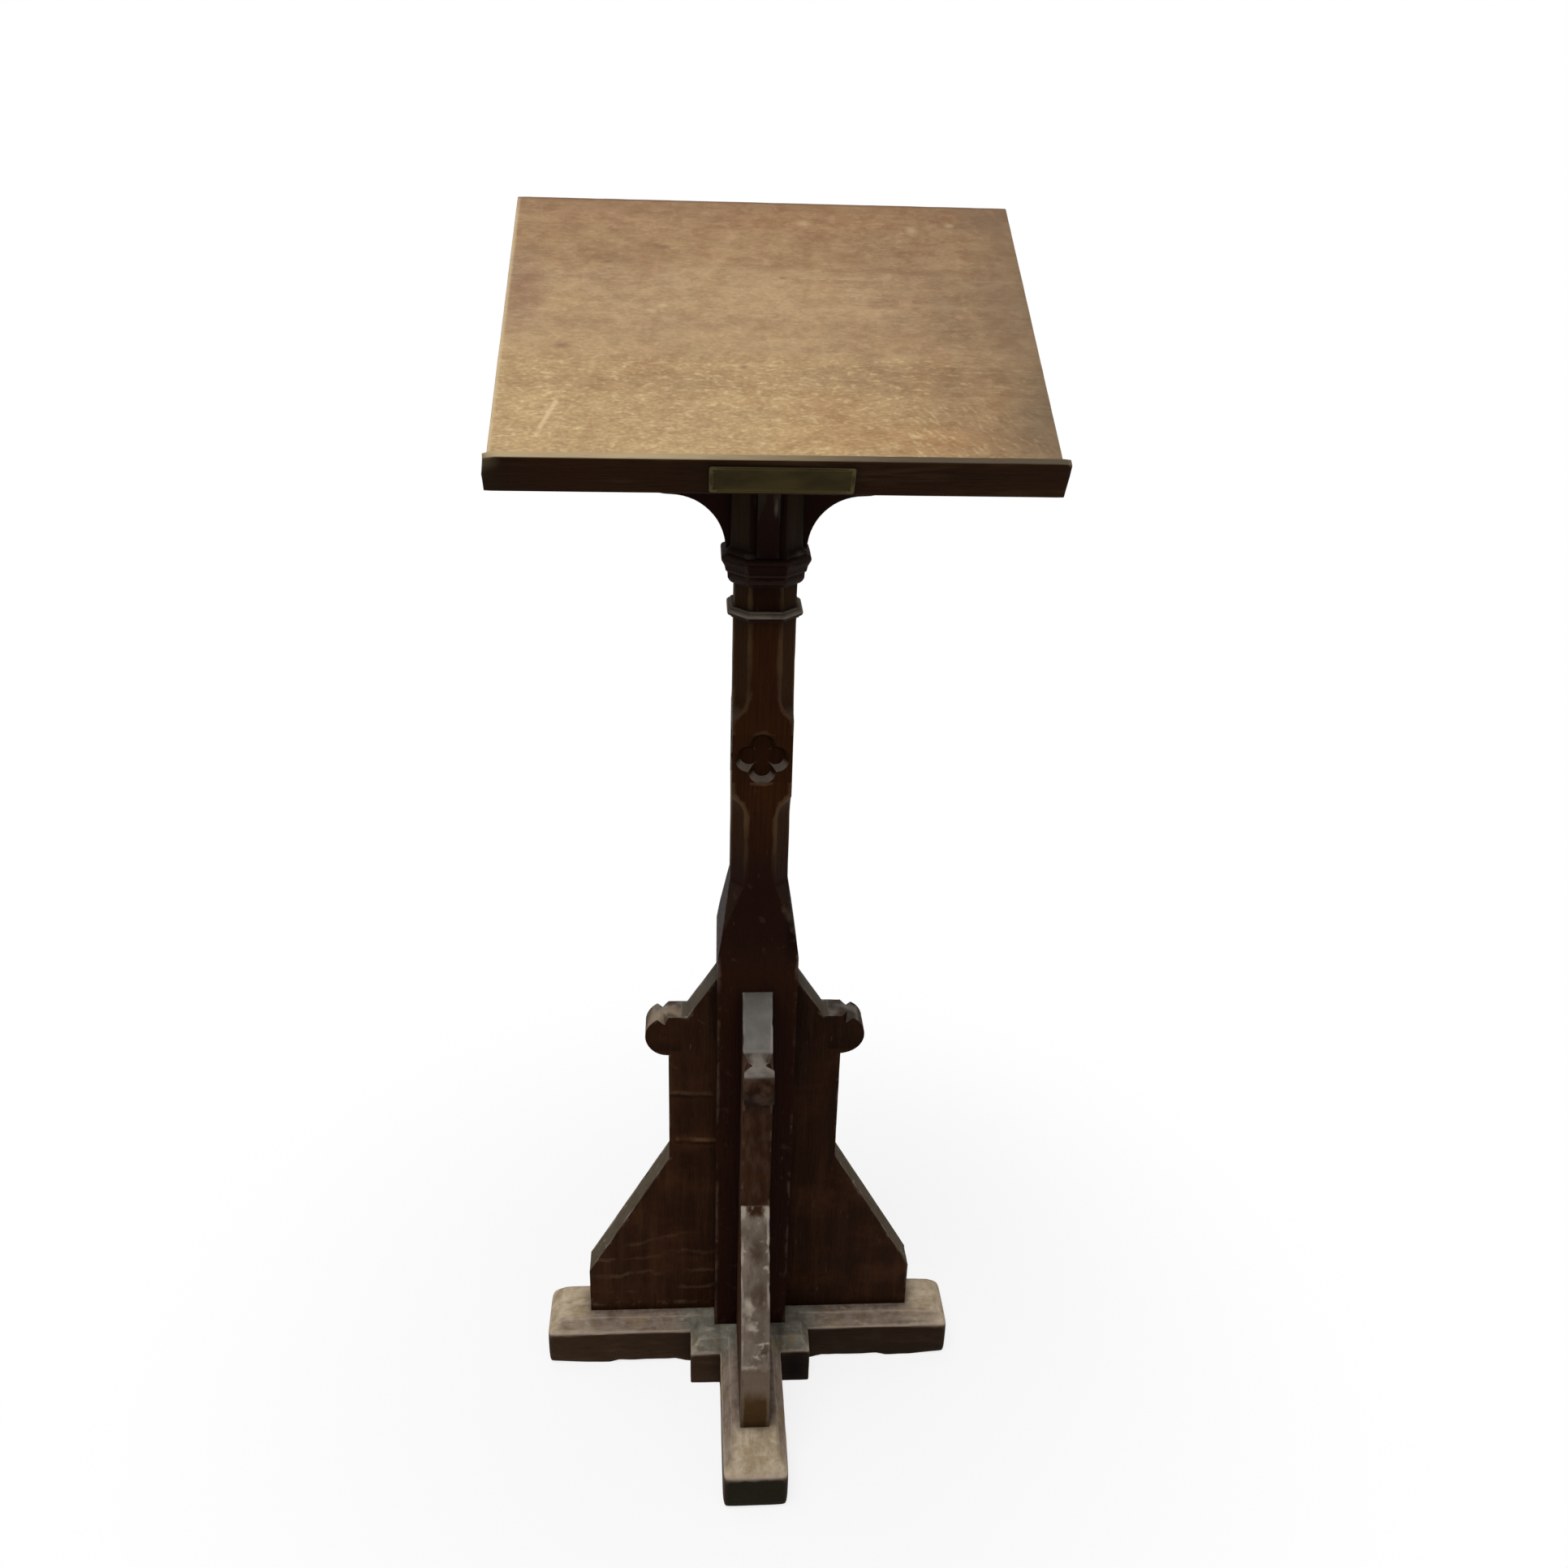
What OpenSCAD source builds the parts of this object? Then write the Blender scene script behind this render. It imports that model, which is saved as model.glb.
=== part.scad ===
// A gothic oak lectern. A cross-shaped foot carries a square post between four buttresses.
// The post tapers to a chamfered shaft with a necking ring and a capital, and four curved
// brackets spread from its octagonal head to a sloping board with a book ledge.
// The reader stands at -Y. The origin is on the floor, under the middle of the post.

/* [Foot] */
// Length of each beam of the cross foot
beam_length = 470; // [430:1:540]
// Width of a beam
beam_width = 70; // [62:1:84]
// Height of a beam
beam_height = 64; // [56:1:76]
// How far down the side the top bevel reaches
bevel_drop = 17; // [8:1:22]
// How far in from the side the top bevel reaches
bevel_width = 11; // [5:1:16]
// How far in from each end the top bevel reaches
bevel_end = 15; // [5:1:24]
// Side of the square blocks that fill the inner corners
block_side = 34; // [26:1:42]
// Depth of the shallow relief under each arm
relief_depth = 2.5; // [1:0.5:5]
// Length of the pad that each arm stands on
pad_length = 72; // [50:1:100]

/* [Post] */
// Width of the square lower post
post_width = 82; // [76:1:92]
// Height of the square lower post above the foot
post_rise = 504; // [480:1:560]
// Height of the taper between the post and the shaft
taper_rise = 78; // [60:1:110]
// Width of the shaft over its broad faces
shaft_width = 58; // [54:1:64]
// Width of a broad face between two chamfers
face_width = 29.5; // [24:0.5:36]
// How far the chamfers run down the taper as pointed facets
broach_drop = 53; // [20:1:58]
// Height of the lower chamfered length, up to its stops
lower_run = 74; // [50:1:100]
// Height of a curved chamfer stop
stop_rise = 25; // [16:1:34]
// Height of the plain square length with the quatrefoils
square_run = 80; // [64:1:110]
// Height of the upper chamfered length, from its stops to the ring
upper_run = 73; // [50:1:110]
// Side of the square tenon under the post
foot_tenon = 38; // [30:1:42]
// How far the foot tenon stops above the floor
tenon_short = 4; // [3:0.5:8]
// Side of the square tenon on the shaft
head_tenon = 30; // [24:1:34]
// Length of the tenon on the shaft
head_tenon_rise = 60; // [45:1:80]

/* [Quatrefoil] */
// Radius of a foil where it meets the face
foil_radius = 13.5; // [10:0.5:14]
// Distance from the middle of the quatrefoil to the middle of a foil
foil_offset = 12.5; // [9:0.5:13]
// Depth of the sunk quatrefoil
foil_depth = 7; // [2:0.5:8]
// How much a foil narrows towards its floor
foil_slope = 5; // [1:0.5:5.5]

/* [Buttress] */
// Thickness of a buttress
buttress_thickness = 31; // [26:1:36]
// How far a buttress reaches from the middle of the post at its foot
buttress_reach = 185; // [165:1:205]
// Height of the upright edge at the buttress's foot
toe_rise = 61; // [40:1:80]
// How far the narrow part reaches from the middle of the post
waist_reach = 92; // [80:1:105]
// Height of the waist above the foot
waist_rise = 226; // [190:1:260]
// Height of the lobe's middle above the foot
lobe_rise = 390; // [360:1:420]
// Radius of the round lobe
lobe_radius = 24.5; // [18:0.5:28]
// How far the lobe's flat top reaches in towards the post
lobe_inset = 20; // [14:1:24]
// Height of the buttress's upper tip above the foot
tip_rise = 463; // [440:1:480]
// Depth of the nicks that cross the lobe's arrises
nick_depth = 6.5; // [3:0.5:8]
// Thickness of the tongues and stub tenons
tongue_thickness = 12; // [8:1:16]
// Depth of the tongue in the post
tongue_depth = 8; // [5:1:10]
// Depth of the stub tenon in the foot
stub_depth = 16; // [10:1:24]
// How far the stub tenon stays clear of the post
stub_inset = 20; // [14:1:30]
// How far the stub tenon stays back from the buttress's toe
stub_setback = 28; // [20:1:40]

/* [Neck] */
// Height of the necking ring
ring_height = 10; // [8:1:18]
// How far the ring stands out from the shaft
ring_reach = 6; // [3:0.5:9]
// Height of bare shaft between the ring and the capital
neck_rise = 23; // [12:1:40]
// Height of the capital
capital_height = 34; // [26:1:46]
// How far the capital stands out from the shaft
capital_reach = 12; // [8:0.5:16]

/* [Head] */
// How far the head block stands out from the shaft
head_reach = 3.5; // [2:0.5:5]
// Height from the capital's top to the middle of the board's face
head_rise = 193; // [185:1:220]
// Thickness of a bracket
bracket_thickness = 20; // [16:1:26]
// Radius of the hollow curve of the side and back brackets
hollow_radius = 49; // [36:1:54]
// Radius of the round curve of the side and back brackets
round_radius = 51; // [36:1:54]
// Radius of the front bracket's single curve, under the low side of the board
front_radius = 125; // [115:1:150]
// Width of the facets on the front bracket's arrises
facet_width = 7; // [3:0.5:8]
// Height above the capital's top at which the facets start
facet_start = 28; // [15:1:45]
// Thickness of a bracket's tongue
bracket_tongue = 8; // [6:1:10]
// Depth of a bracket's tongue in the head block
bracket_housing = 6; // [4:1:8]

/* [Board] */
// Width of the board
board_width = 450; // [420:1:520]
// Depth of the board along its slope
board_depth = 354; // [340:1:400]
// Thickness of the board
board_thickness = 20; // [18:1:26]
// Slope of the board in degrees
board_slope = 27.2; // [24:0.1:29]
// Width of a batten under the board
batten_width = 30; // [22:1:40]
// Thickness of a batten
batten_thickness = 18; // [14:1:24]
// Distance from the board's front and back edges to a batten's ends
batten_margin = 26; // [18:1:50]

/* [Ledge] */
// Thickness of the book ledge
ledge_thickness = 9; // [8:0.5:14]
// Height of the book ledge's face
ledge_height = 35; // [33:1:44]
// How far the ledge stands above the board's face
ledge_lip = 7; // [4:0.5:10]
// How far the ledge passes each side of the board
ledge_over = 4; // [0:0.5:8]
// Radius of the ledge's softened edges
ledge_round = 2.5; // [1:0.5:3.5]

/* [Plate] */
// Width of the bare brass plate
plate_width = 114; // [80:1:140]
// Height of the plate
plate_height = 26; // [16:1:28]
// Height of the plate's lower edge above the ledge's lower edge
plate_rise = 3.5; // [3:0.5:5]
// Thickness of the plate
plate_thickness = 1; // [0.8:0.1:2]
// How far the plate sits right of the middle
plate_shift = 3; // [-10:1:10]
// Diameter of a plate pin's shank
pin_diameter = 1.6; // [1.2:0.1:2]

/* [Fixings] */
// Diameter of a wood screw's shank
screw_diameter = 4.5; // [3.5:0.1:5]
// Length of a wood screw
screw_length = 32; // [28:1:34]
// Diameter of a ledge dowel
ledge_dowel = 8; // [6:0.5:8]
// Diameter of a bracket dowel
bracket_dowel = 6; // [5:0.5:7]
// Clearance round every tenon, tongue, dowel and screw
fit_gap = 0.1; // [0.05:0.05:0.2]

/* [Hidden] */

// Colours as the object shows them
worn_oak = [0.56, 0.50, 0.44];
dark_oak = [0.24, 0.15, 0.11];
brown_oak = [0.33, 0.22, 0.13];
light_oak = [0.55, 0.42, 0.27];
old_brass = [0.42, 0.38, 0.24];
steel = [0.35, 0.34, 0.33];
peg_oak = [0.62, 0.50, 0.36];

// Angle that each arm of the cross, and what stands on it, is turned to
right_turn = 0;
back_turn = 90;
left_turn = 180;
front_turn = 270;
four_turns = [right_turn, back_turn, left_turn, front_turn];
// Angle from a face of the post to the chamfer beside it
half_turn = 45;

// Foot
arm = beam_length / 2;
beam_half = beam_width / 2;
centre_half = beam_half + block_side;
relief_margin = 8;
relief_start = centre_half + relief_margin;
relief_end = arm - pad_length;
relief_ramp = 10;
lap_level = beam_height / 2;
// A length that clears every piece when it cuts
past = 600;
// Facets in a quarter of a rounded edge or curve
curve_steps = 14;
// Facets in a quarter of a small softened corner
edge_steps = 5;
// Facets of drilled holes and pins
hole_facets = 40;

// Levels up the post
taper_foot = beam_height + post_rise;
taper_top = taper_foot + taper_rise;
broach_tip = taper_top - broach_drop;
square_foot = taper_top + lower_run + stop_rise;
square_top = square_foot + square_run;
ring_foot = square_top + stop_rise + upper_run;
capital_foot = ring_foot + ring_height + neck_rise;
head_foot = capital_foot + capital_height;
tenon_top = head_foot + head_tenon_rise;
board_level = head_foot + head_rise;

post_half = post_width / 2;
shaft_half = shaft_width / 2;
face_half = face_width / 2;
chamfer = shaft_half - face_half;
// Distances from the axis, measured towards the corners
facet_reach = (shaft_half + face_half) / sqrt(2);
broach_half = shaft_half + (post_half - shaft_half) * broach_drop / taper_rise;
broach_corner = broach_half * sqrt(2);
head_half = shaft_half + head_reach;

// Points along an arc in a flat outline, from one angle to another
function arc(x, y, r, from, to, steps = curve_steps) =
    [for (i = [0 : steps]) let (a = from + (to - from) * i / steps) [x + r * cos(a), y + r * sin(a)]];

// Outline that mirrors the points of its right-hand side
function mirrored(points) =
    concat(points, [for (i = [len(points) - 1 : -1 : 0]) [-points[i][0], points[i][1]]]);

// The same points, moved out from the axis
function widened(points, by) = [for (p = points) [p[0] + by, p[1]]];

// A side view of a piece, made as thick as given, and turned about the axis
module upright(points, thickness, turn = 0) {
    rotate([0, 0, turn]) rotate([90, 0, 0]) linear_extrude(thickness, center = true) polygon(points);
}

// An eight-sided piece about the axis, from its outlines over the faces and over the chamfers
module eight_sided(over_faces, over_chamfers) {
    intersection() {
        upright(mirrored(over_faces), past, right_turn);
        upright(mirrored(over_faces), past, back_turn);
        upright(mirrored(over_chamfers), past, half_turn);
        upright(mirrored(over_chamfers), past, back_turn + half_turn);
    }
}

// Moves what is drawn on a level board to the sloping board. The board's face is at its zero level.
module on_slope() {
    translate([0, 0, board_level]) rotate([board_slope, 0, 0]) children();
}

// Everything above the underside of the sloping board
module above_underside() {
    on_slope() translate([-past / 2, -past / 2, -board_thickness]) cube([past, past, past]);
}

// Foot pieces

// End view of a bevelled bar of a given width
function bevelled(width) = [
    [-width / 2, 0], [width / 2, 0], [width / 2, beam_height - bevel_drop],
    [width / 2 - bevel_width, beam_height], [bevel_width - width / 2, beam_height],
    [-width / 2, beam_height - bevel_drop]
];

// Side view of a beam, with its end bevels and the relief under each arm
function beam_side() = mirrored([
    [0, 0], [relief_start, 0], [relief_start + relief_ramp, relief_depth],
    [relief_end - relief_ramp, relief_depth], [relief_end, 0],
    [arm, 0], [arm, beam_height - bevel_drop], [arm - bevel_end, beam_height], [0, beam_height]
]);

// The square at the middle of the foot, bevelled on its four sides
module foot_square() {
    intersection() {
        upright(bevelled(2 * centre_half), past);
        upright(bevelled(2 * centre_half), past, back_turn);
    }
}

// A whole beam along X. Where it crosses the square, its bevels stop in a mitre.
module beam_blank() {
    difference() {
        union() {
            intersection() {
                upright(beam_side(), past);
                upright(bevelled(beam_width), past, back_turn);
            }
            intersection() {
                foot_square();
                translate([-past / 2, -beam_half, 0]) cube([past, beam_width, beam_height]);
            }
        }
        post_mortise();
        for (turn = [right_turn, left_turn]) rotate([0, 0, turn]) stub_mortise();
    }
}

// Square hole for the post's tenon
module post_mortise() {
    side = foot_tenon + 2 * fit_gap;
    translate([-side / 2, -side / 2, -1]) cube([side, side, beam_height + 2]);
}

// The stub tenon under a buttress starts and ends clear of the post and of its own toe
stub_start = post_half + stub_inset;
stub_end = buttress_reach - stub_setback;

// Pocket in an arm for a buttress's stub tenon
module stub_mortise() {
    translate([stub_start - fit_gap, -tongue_thickness / 2 - fit_gap, beam_height - stub_depth - 1])
        cube([stub_end - stub_start + 2 * fit_gap, tongue_thickness + 2 * fit_gap, stub_depth + 2]);
}

module foot_beam_across() {
    color(worn_oak) difference() {
        beam_blank();
        translate([-beam_half, -beam_half - 1, lap_level]) cube([beam_width, beam_width + 2, beam_height]);
    }
}

module foot_beam_along() {
    color(worn_oak) rotate([0, 0, back_turn]) difference() {
        beam_blank();
        translate([-beam_half, -beam_half - 1, -1]) cube([beam_width, beam_width + 2, lap_level + 1]);
    }
}

// A block in one inner corner of the cross
module corner_block(side_x, side_y) {
    out = beam_half + block_side / 2;
    color(worn_oak) intersection() {
        foot_square();
        translate([side_x * out, side_y * out, beam_height / 2])
            cube([block_side, block_side, beam_height], center = true);
    }
}

// Post

// Side view of the right half of the post, seen on a broad face
function post_side() = [
    [foot_tenon / 2, tenon_short], [foot_tenon / 2, beam_height], [post_half, beam_height],
    [post_half, taper_foot], [shaft_half, taper_top], [shaft_half, head_foot],
    [head_tenon / 2, head_foot], [head_tenon / 2, tenon_top]
];

// Radius of a chamfer stop's curve, and how far it has run out at a height above its start
stop_radius = (stop_rise * stop_rise + chamfer * chamfer) / (2 * chamfer);
function stop_out(rise) = stop_radius - sqrt(stop_radius * stop_radius - rise * rise);

// Side view of the right half of the post, seen on a corner
function post_corner() = concat(
    [[post_width, tenon_short], [post_width, broach_tip], [broach_corner, broach_tip],
        [facet_reach, taper_top]],
    [for (i = [0 : curve_steps]) let (rise = stop_rise * i / curve_steps)
        [facet_reach + stop_out(rise) / sqrt(2), square_foot - stop_rise + rise]],
    [[post_width, square_foot], [post_width, square_top]],
    [for (i = [curve_steps : -1 : 0]) let (rise = stop_rise * i / curve_steps)
        [facet_reach + stop_out(rise) / sqrt(2), square_top + stop_rise - rise]],
    [[facet_reach, tenon_top]]
);

// Four foils sunk with sloping sides into the face at -Y. Their slopes meet in cusps, and a square
// that reaches halfway to their middles clears the floor between them.
module quatrefoil() {
    floor_radius = foil_radius - foil_slope;
    translate([0, -shaft_half, (square_foot + square_top) / 2]) rotate([90, 0, 0]) {
        for (turn = four_turns) rotate([0, 0, turn]) translate([foil_offset, 0, -foil_depth])
            cylinder(h = foil_depth + 1, r1 = floor_radius, r2 = foil_radius + foil_slope / foil_depth,
                $fn = hole_facets);
        translate([-foil_offset / 2, -foil_offset / 2, -foil_depth])
            cube([foil_offset, foil_offset, foil_depth + 1]);
    }
}

// Wedges driven up into the foot tenon, and down into the head tenon before it went home
wedge_thickness = 5;
foot_wedge_rise = 30;
foot_wedge_offset = foot_tenon / 4;
head_wedge_drop = 26;

// A wedge whose broad end is at the zero level and whose thin end is up
module wedge(rise, width) {
    rotate([90, 0, 0]) linear_extrude(width, center = true)
        polygon([[-wedge_thickness / 2, 0], [wedge_thickness / 2, 0], [0, rise]]);
}

module foot_wedge_pair() {
    for (side = [-1, 1]) translate([side * foot_wedge_offset, 0, tenon_short])
        wedge(foot_wedge_rise, foot_tenon);
}

module head_wedge_shape() {
    translate([0, 0, tenon_top]) mirror([0, 0, 1]) wedge(head_wedge_drop, head_tenon);
}

// Groove in the post for a buttress's tongue, which stops short of the buttress's foot and tip
tongue_margin_foot = 20;
tongue_margin_tip = 34;
tongue_foot = beam_height + tongue_margin_foot;
tongue_top = beam_height + tip_rise - tongue_margin_tip;
module tongue_groove() {
    width = tongue_thickness + 2 * fit_gap;
    translate([post_half - tongue_depth - fit_gap, -width / 2, tongue_foot - fit_gap])
        cube([tongue_depth + 1, width, tongue_top - tongue_foot + 2 * fit_gap]);
}

module post() {
    color(brown_oak) difference() {
        eight_sided(post_side(), post_corner());
        for (turn = four_turns) rotate([0, 0, turn]) {
            tongue_groove();
            quatrefoil();
        }
        foot_wedge_pair();
        head_wedge_shape();
    }
}

module foot_wedges() {
    color(peg_oak) foot_wedge_pair();
}

module head_wedge() {
    color(peg_oak) head_wedge_shape();
}

// Buttresses

// Side view of a buttress on the right-hand arm
function buttress_side() = concat(
    [[post_half, beam_height], [buttress_reach, beam_height], [buttress_reach, beam_height + toe_rise],
        [waist_reach, beam_height + waist_rise]],
    arc(waist_reach, beam_height + lobe_rise, lobe_radius, -90, 90, 2 * curve_steps),
    [[waist_reach - lobe_inset, beam_height + lobe_rise + lobe_radius], [post_half, beam_height + tip_rise]]
);

// Angle on the lobe at which the nicks cross its arrises
nick_angle = 76;
nick_side = nick_depth * sqrt(2);
nick_length = nick_depth * 4;

module buttress(turn) {
    tongue = tongue_thickness;
    color(dark_oak) rotate([0, 0, turn]) {
        difference() {
            upright(buttress_side(), buttress_thickness);
            for (side = [-1, 1])
                translate([waist_reach + lobe_radius * cos(nick_angle), side * buttress_thickness / 2,
                    beam_height + lobe_rise + lobe_radius * sin(nick_angle)])
                    rotate([0, 90 - nick_angle, 0]) rotate([-side * half_turn, 0, 0])
                        rotate([0, half_turn, 0]) cube([nick_side, nick_length, nick_side], center = true);
        }
        translate([post_half - tongue_depth, -tongue / 2, tongue_foot])
            cube([tongue_depth, tongue, tongue_top - tongue_foot]);
        translate([stub_start, -tongue / 2, beam_height - stub_depth])
            cube([stub_end - stub_start, tongue, stub_depth]);
    }
}

// Neck

// A collar with eight mitred sides round the shaft. The points give its reach from the shaft, and its level.
module collar(points) {
    hole = [[fit_gap, 0], [fit_gap, tenon_top]];
    difference() {
        eight_sided(widened(points, shaft_half), widened(points, facet_reach));
        eight_sided(widened(hole, shaft_half), widened(hole, facet_reach));
    }
}

// A small fillet above and below the round nose of the ring
ring_fillet = 1.5;
module necking_ring() {
    nose = ring_height / 2 - ring_fillet;
    middle = ring_foot + ring_height / 2;
    color(dark_oak) collar(concat(
        [[ring_reach - nose, ring_foot], [ring_reach - nose, ring_foot + ring_fillet]],
        arc(ring_reach - nose, middle, nose, -90, 90),
        [[ring_reach - nose, ring_foot + ring_height]]
    ));
}

// The weathering on the capital's top, which the brackets' feet are scribed to
weathering_rise = 4.5;
weathering_foot = capital_reach * 2 / 3;
weathering_step = 0.6;
function capital_level(share) = capital_foot + capital_height * share;

module capital() {
    color(dark_oak) collar(concat(
        [[capital_reach * 0.2, capital_level(0)], [capital_reach * 0.38, capital_level(0.07)],
            [capital_reach * 0.5, capital_level(0.15)], [capital_reach * 0.52, capital_level(0.31)],
            [capital_reach * 0.65, capital_level(0.34)], [capital_reach * 0.68, capital_level(0.39)],
            [capital_reach * 0.74, capital_level(0.48)], [capital_reach * 0.87, capital_level(0.57)],
            [capital_reach * 0.97, capital_level(0.63)], [capital_reach, capital_level(0.69)],
            [capital_reach * 0.97, capital_level(0.75)], [capital_reach * 0.84, capital_level(0.8)],
            [weathering_foot - weathering_step, capital_level(0.82)]],
        [[weathering_foot, head_foot - weathering_rise], [head_reach, head_foot]]
    ));
}

// Head

weathering_edge = shaft_half + weathering_foot;
bracket_foot = head_foot - weathering_rise;
hollow_middle = weathering_edge + hollow_radius;
round_level = bracket_foot + hollow_radius + round_radius;
bracket_reach = hollow_middle + round_radius;
bracket_top = board_level + past / 4;
housing_margin = 12;
housing_foot = head_foot + housing_margin;

// Outline of a side or back bracket, an ogee, from the head block outwards
function ogee_side() = concat(
    [[head_half, head_foot]],
    arc(hollow_middle, bracket_foot, hollow_radius, 180, 90),
    arc(hollow_middle, round_level, round_radius, -90, 0),
    [[bracket_reach, bracket_top], [head_half, bracket_top]]
);

// Outline of the front bracket, which curves out once
front_middle = weathering_edge + front_radius;
function front_side() = concat(
    [[head_half, head_foot]],
    arc(front_middle, bracket_foot, front_radius, 180, 90, 2 * curve_steps),
    [[front_middle, bracket_top], [head_half, bracket_top]]
);

// Where the front bracket's curve meets the board's underside: the nearer root of circle and line
underside_middle = board_level - board_thickness / cos(board_slope);
underside_rise = underside_middle - bracket_foot;
tip_square = 1 + tan(board_slope) ^ 2;
tip_linear = front_middle + tan(board_slope) * underside_rise;
tip_constant = front_middle ^ 2 + underside_rise ^ 2 - front_radius ^ 2;
front_tip = (tip_linear - sqrt(tip_linear ^ 2 - tip_square * tip_constant)) / tip_square;

// The front bracket's arrises, seen along a diagonal. Each facet widens from a point to its full width.
facet_run = 22;
function facet_at(rise) = facet_width * min(1, (rise - weathering_rise - facet_start) / facet_run);
function front_corner() = concat(
    [for (i = [0 : 2 * curve_steps]) let (angle = 180 - 90 * i / (2 * curve_steps),
            rise = front_radius * sin(angle), reach = front_middle + front_radius * cos(angle))
        [(reach + bracket_thickness / 2 - facet_at(rise)) / sqrt(2), bracket_foot + rise]],
    [[front_middle, bracket_top], [-past / 2, bracket_top], [-past / 2, bracket_foot]]
);

// Cuts a bracket to the board's underside and the dowels, and adds its tongue
module fitted_bracket(turn) {
    color(dark_oak) difference() {
        union() {
            children();
            rotate([0, 0, turn]) translate([head_half - bracket_housing, -bracket_tongue / 2, housing_foot])
                cube([bracket_housing, bracket_tongue, bracket_top - housing_foot]);
        }
        above_underside();
        bracket_dowel_set(fit_gap);
    }
}

module ogee_bracket(turn) {
    fitted_bracket(turn) upright(ogee_side(), bracket_thickness, turn);
}

module front_bracket() {
    fitted_bracket(front_turn) intersection() {
        upright(front_side(), bracket_thickness, front_turn);
        upright(front_corner(), past, front_turn - half_turn);
        upright(front_corner(), past, front_turn + half_turn);
    }
}

module head_block() {
    groove = bracket_tongue + 2 * fit_gap;
    mortise = head_tenon + 2 * fit_gap;
    outline = [[head_reach, head_foot], [head_reach, bracket_top]];
    color(dark_oak) difference() {
        eight_sided(widened(outline, shaft_half), widened(outline, facet_reach));
        above_underside();
        translate([-mortise / 2, -mortise / 2, head_foot - 1])
            cube([mortise, mortise, head_tenon_rise + 1 + fit_gap]);
        for (turn = four_turns) rotate([0, 0, turn])
            translate([head_half - bracket_housing - fit_gap, -groove / 2, housing_foot - fit_gap])
                cube([bracket_housing + 1, groove, past]);
    }
}

// Dowels between the brackets and the board, square to the board
dowel_in_bracket = 10;
dowel_in_board = 12;
dowel_margin = 22;
dowel_near = head_half + dowel_margin;
dowel_far = bracket_reach - dowel_margin;
dowel_front = front_tip - dowel_margin;

// Puts a child on the board's underside at each bracket dowel
module at_bracket_dowels() {
    // Half way down a side bracket's dowel, its middle is over the middle of the bracket
    side_y = -(board_thickness + dowel_in_bracket / 2) * tan(board_slope);
    for (x = [-dowel_far, -dowel_near, dowel_near, dowel_far])
        on_slope() translate([x, side_y, -board_thickness]) children();
    for (y = [-dowel_front, -dowel_near, dowel_near, dowel_far])
        on_slope() translate([0, y / cos(board_slope) + side_y, -board_thickness]) children();
}

module bracket_dowel_set(gap = 0) {
    at_bracket_dowels() translate([0, 0, -dowel_in_bracket - gap])
        cylinder(h = dowel_in_bracket + dowel_in_board + 2 * gap, d = bracket_dowel + 2 * gap,
            $fn = hole_facets);
}

module bracket_dowels() {
    color(peg_oak) bracket_dowel_set();
}

// Board

plank_count = 3;
plank_depth = board_depth / plank_count;
batten_length = board_depth - 2 * batten_margin;
batten_gap = 0.5;
batten_middle = bracket_reach + batten_gap + batten_width / 2;
batten_bevel = 8;
screw_head = 2 * screw_diameter;
screw_sink = 0.4;
screw_rim = 0.6;
screw_tip = 7;
screw_point = 0.5;
screw_slot = 1;
screw_margin = 26;
screw_rows = [screw_margin - batten_length / 2, 0, batten_length / 2 - screw_margin];

// One wood screw, head down at the zero level and tip up, grown by a gap when it cuts its own hole
module wood_screw(gap = 0) {
    rotate_extrude($fn = hole_facets) polygon([
        [0, -gap], [screw_head / 2 + gap, -gap], [screw_head / 2 + gap, screw_rim],
        [screw_diameter / 2 + gap, screw_head / 2 - screw_diameter / 2 + screw_rim],
        [screw_diameter / 2 + gap, screw_length - screw_tip], [screw_point + gap, screw_length + gap],
        [0, screw_length + gap]
    ]);
}

// Puts a child at the underside of each batten, where a screw goes
module at_batten_screws() {
    for (side = [-1, 1], y = screw_rows)
        on_slope() translate([side * batten_middle, y, screw_sink - board_thickness - batten_thickness])
            children();
}

// One plank of the board, counted from the ledge upwards
module plank(place) {
    color(light_oak) difference() {
        on_slope() translate([-board_width / 2, (place - plank_count / 2) * plank_depth, -board_thickness])
            cube([board_width, plank_depth, board_thickness]);
        bracket_dowel_set(fit_gap);
        ledge_dowel_set(fit_gap);
        at_batten_screws() wood_screw(fit_gap);
    }
}

// A batten under the board, with bevelled ends
module batten(side) {
    color(dark_oak) difference() {
        on_slope() translate([side * batten_middle, 0, -board_thickness]) rotate([90, 0, 90])
            linear_extrude(batten_width, center = true) polygon([
                [-batten_length / 2, 0], [-batten_length / 2, -batten_thickness / 2],
                [batten_bevel - batten_length / 2, -batten_thickness],
                [batten_length / 2 - batten_bevel, -batten_thickness],
                [batten_length / 2, -batten_thickness / 2], [batten_length / 2, 0]
            ]);
        at_batten_screws() {
            wood_screw(fit_gap);
            translate([0, 0, -1])
                cylinder(h = 1 + 2 * fit_gap, r = screw_head / 2 + fit_gap, $fn = hole_facets);
        }
    }
}

module batten_screws() {
    color(steel) at_batten_screws() difference() {
        wood_screw();
        translate([-screw_head, -screw_slot / 2, -screw_slot])
            cube([2 * screw_head, screw_slot, 2 * screw_slot]);
    }
}

// Ledge

ledge_dowel_depth = 20;
ledge_dowel_cover = 3;
ledge_dowel_places = [for (share = [-0.4, -0.14, 0.14, 0.4]) share * board_width];

// Dowels between the board's front edge and the ledge
module ledge_dowel_set(gap = 0) {
    for (x = ledge_dowel_places)
        on_slope() translate([x, ledge_dowel_depth - board_depth / 2 + gap, -board_thickness / 2])
            rotate([90, 0, 0]) cylinder(h = ledge_dowel_depth + ledge_thickness - ledge_dowel_cover + 2 * gap,
                d = ledge_dowel + 2 * gap, $fn = hole_facets);
}

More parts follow.
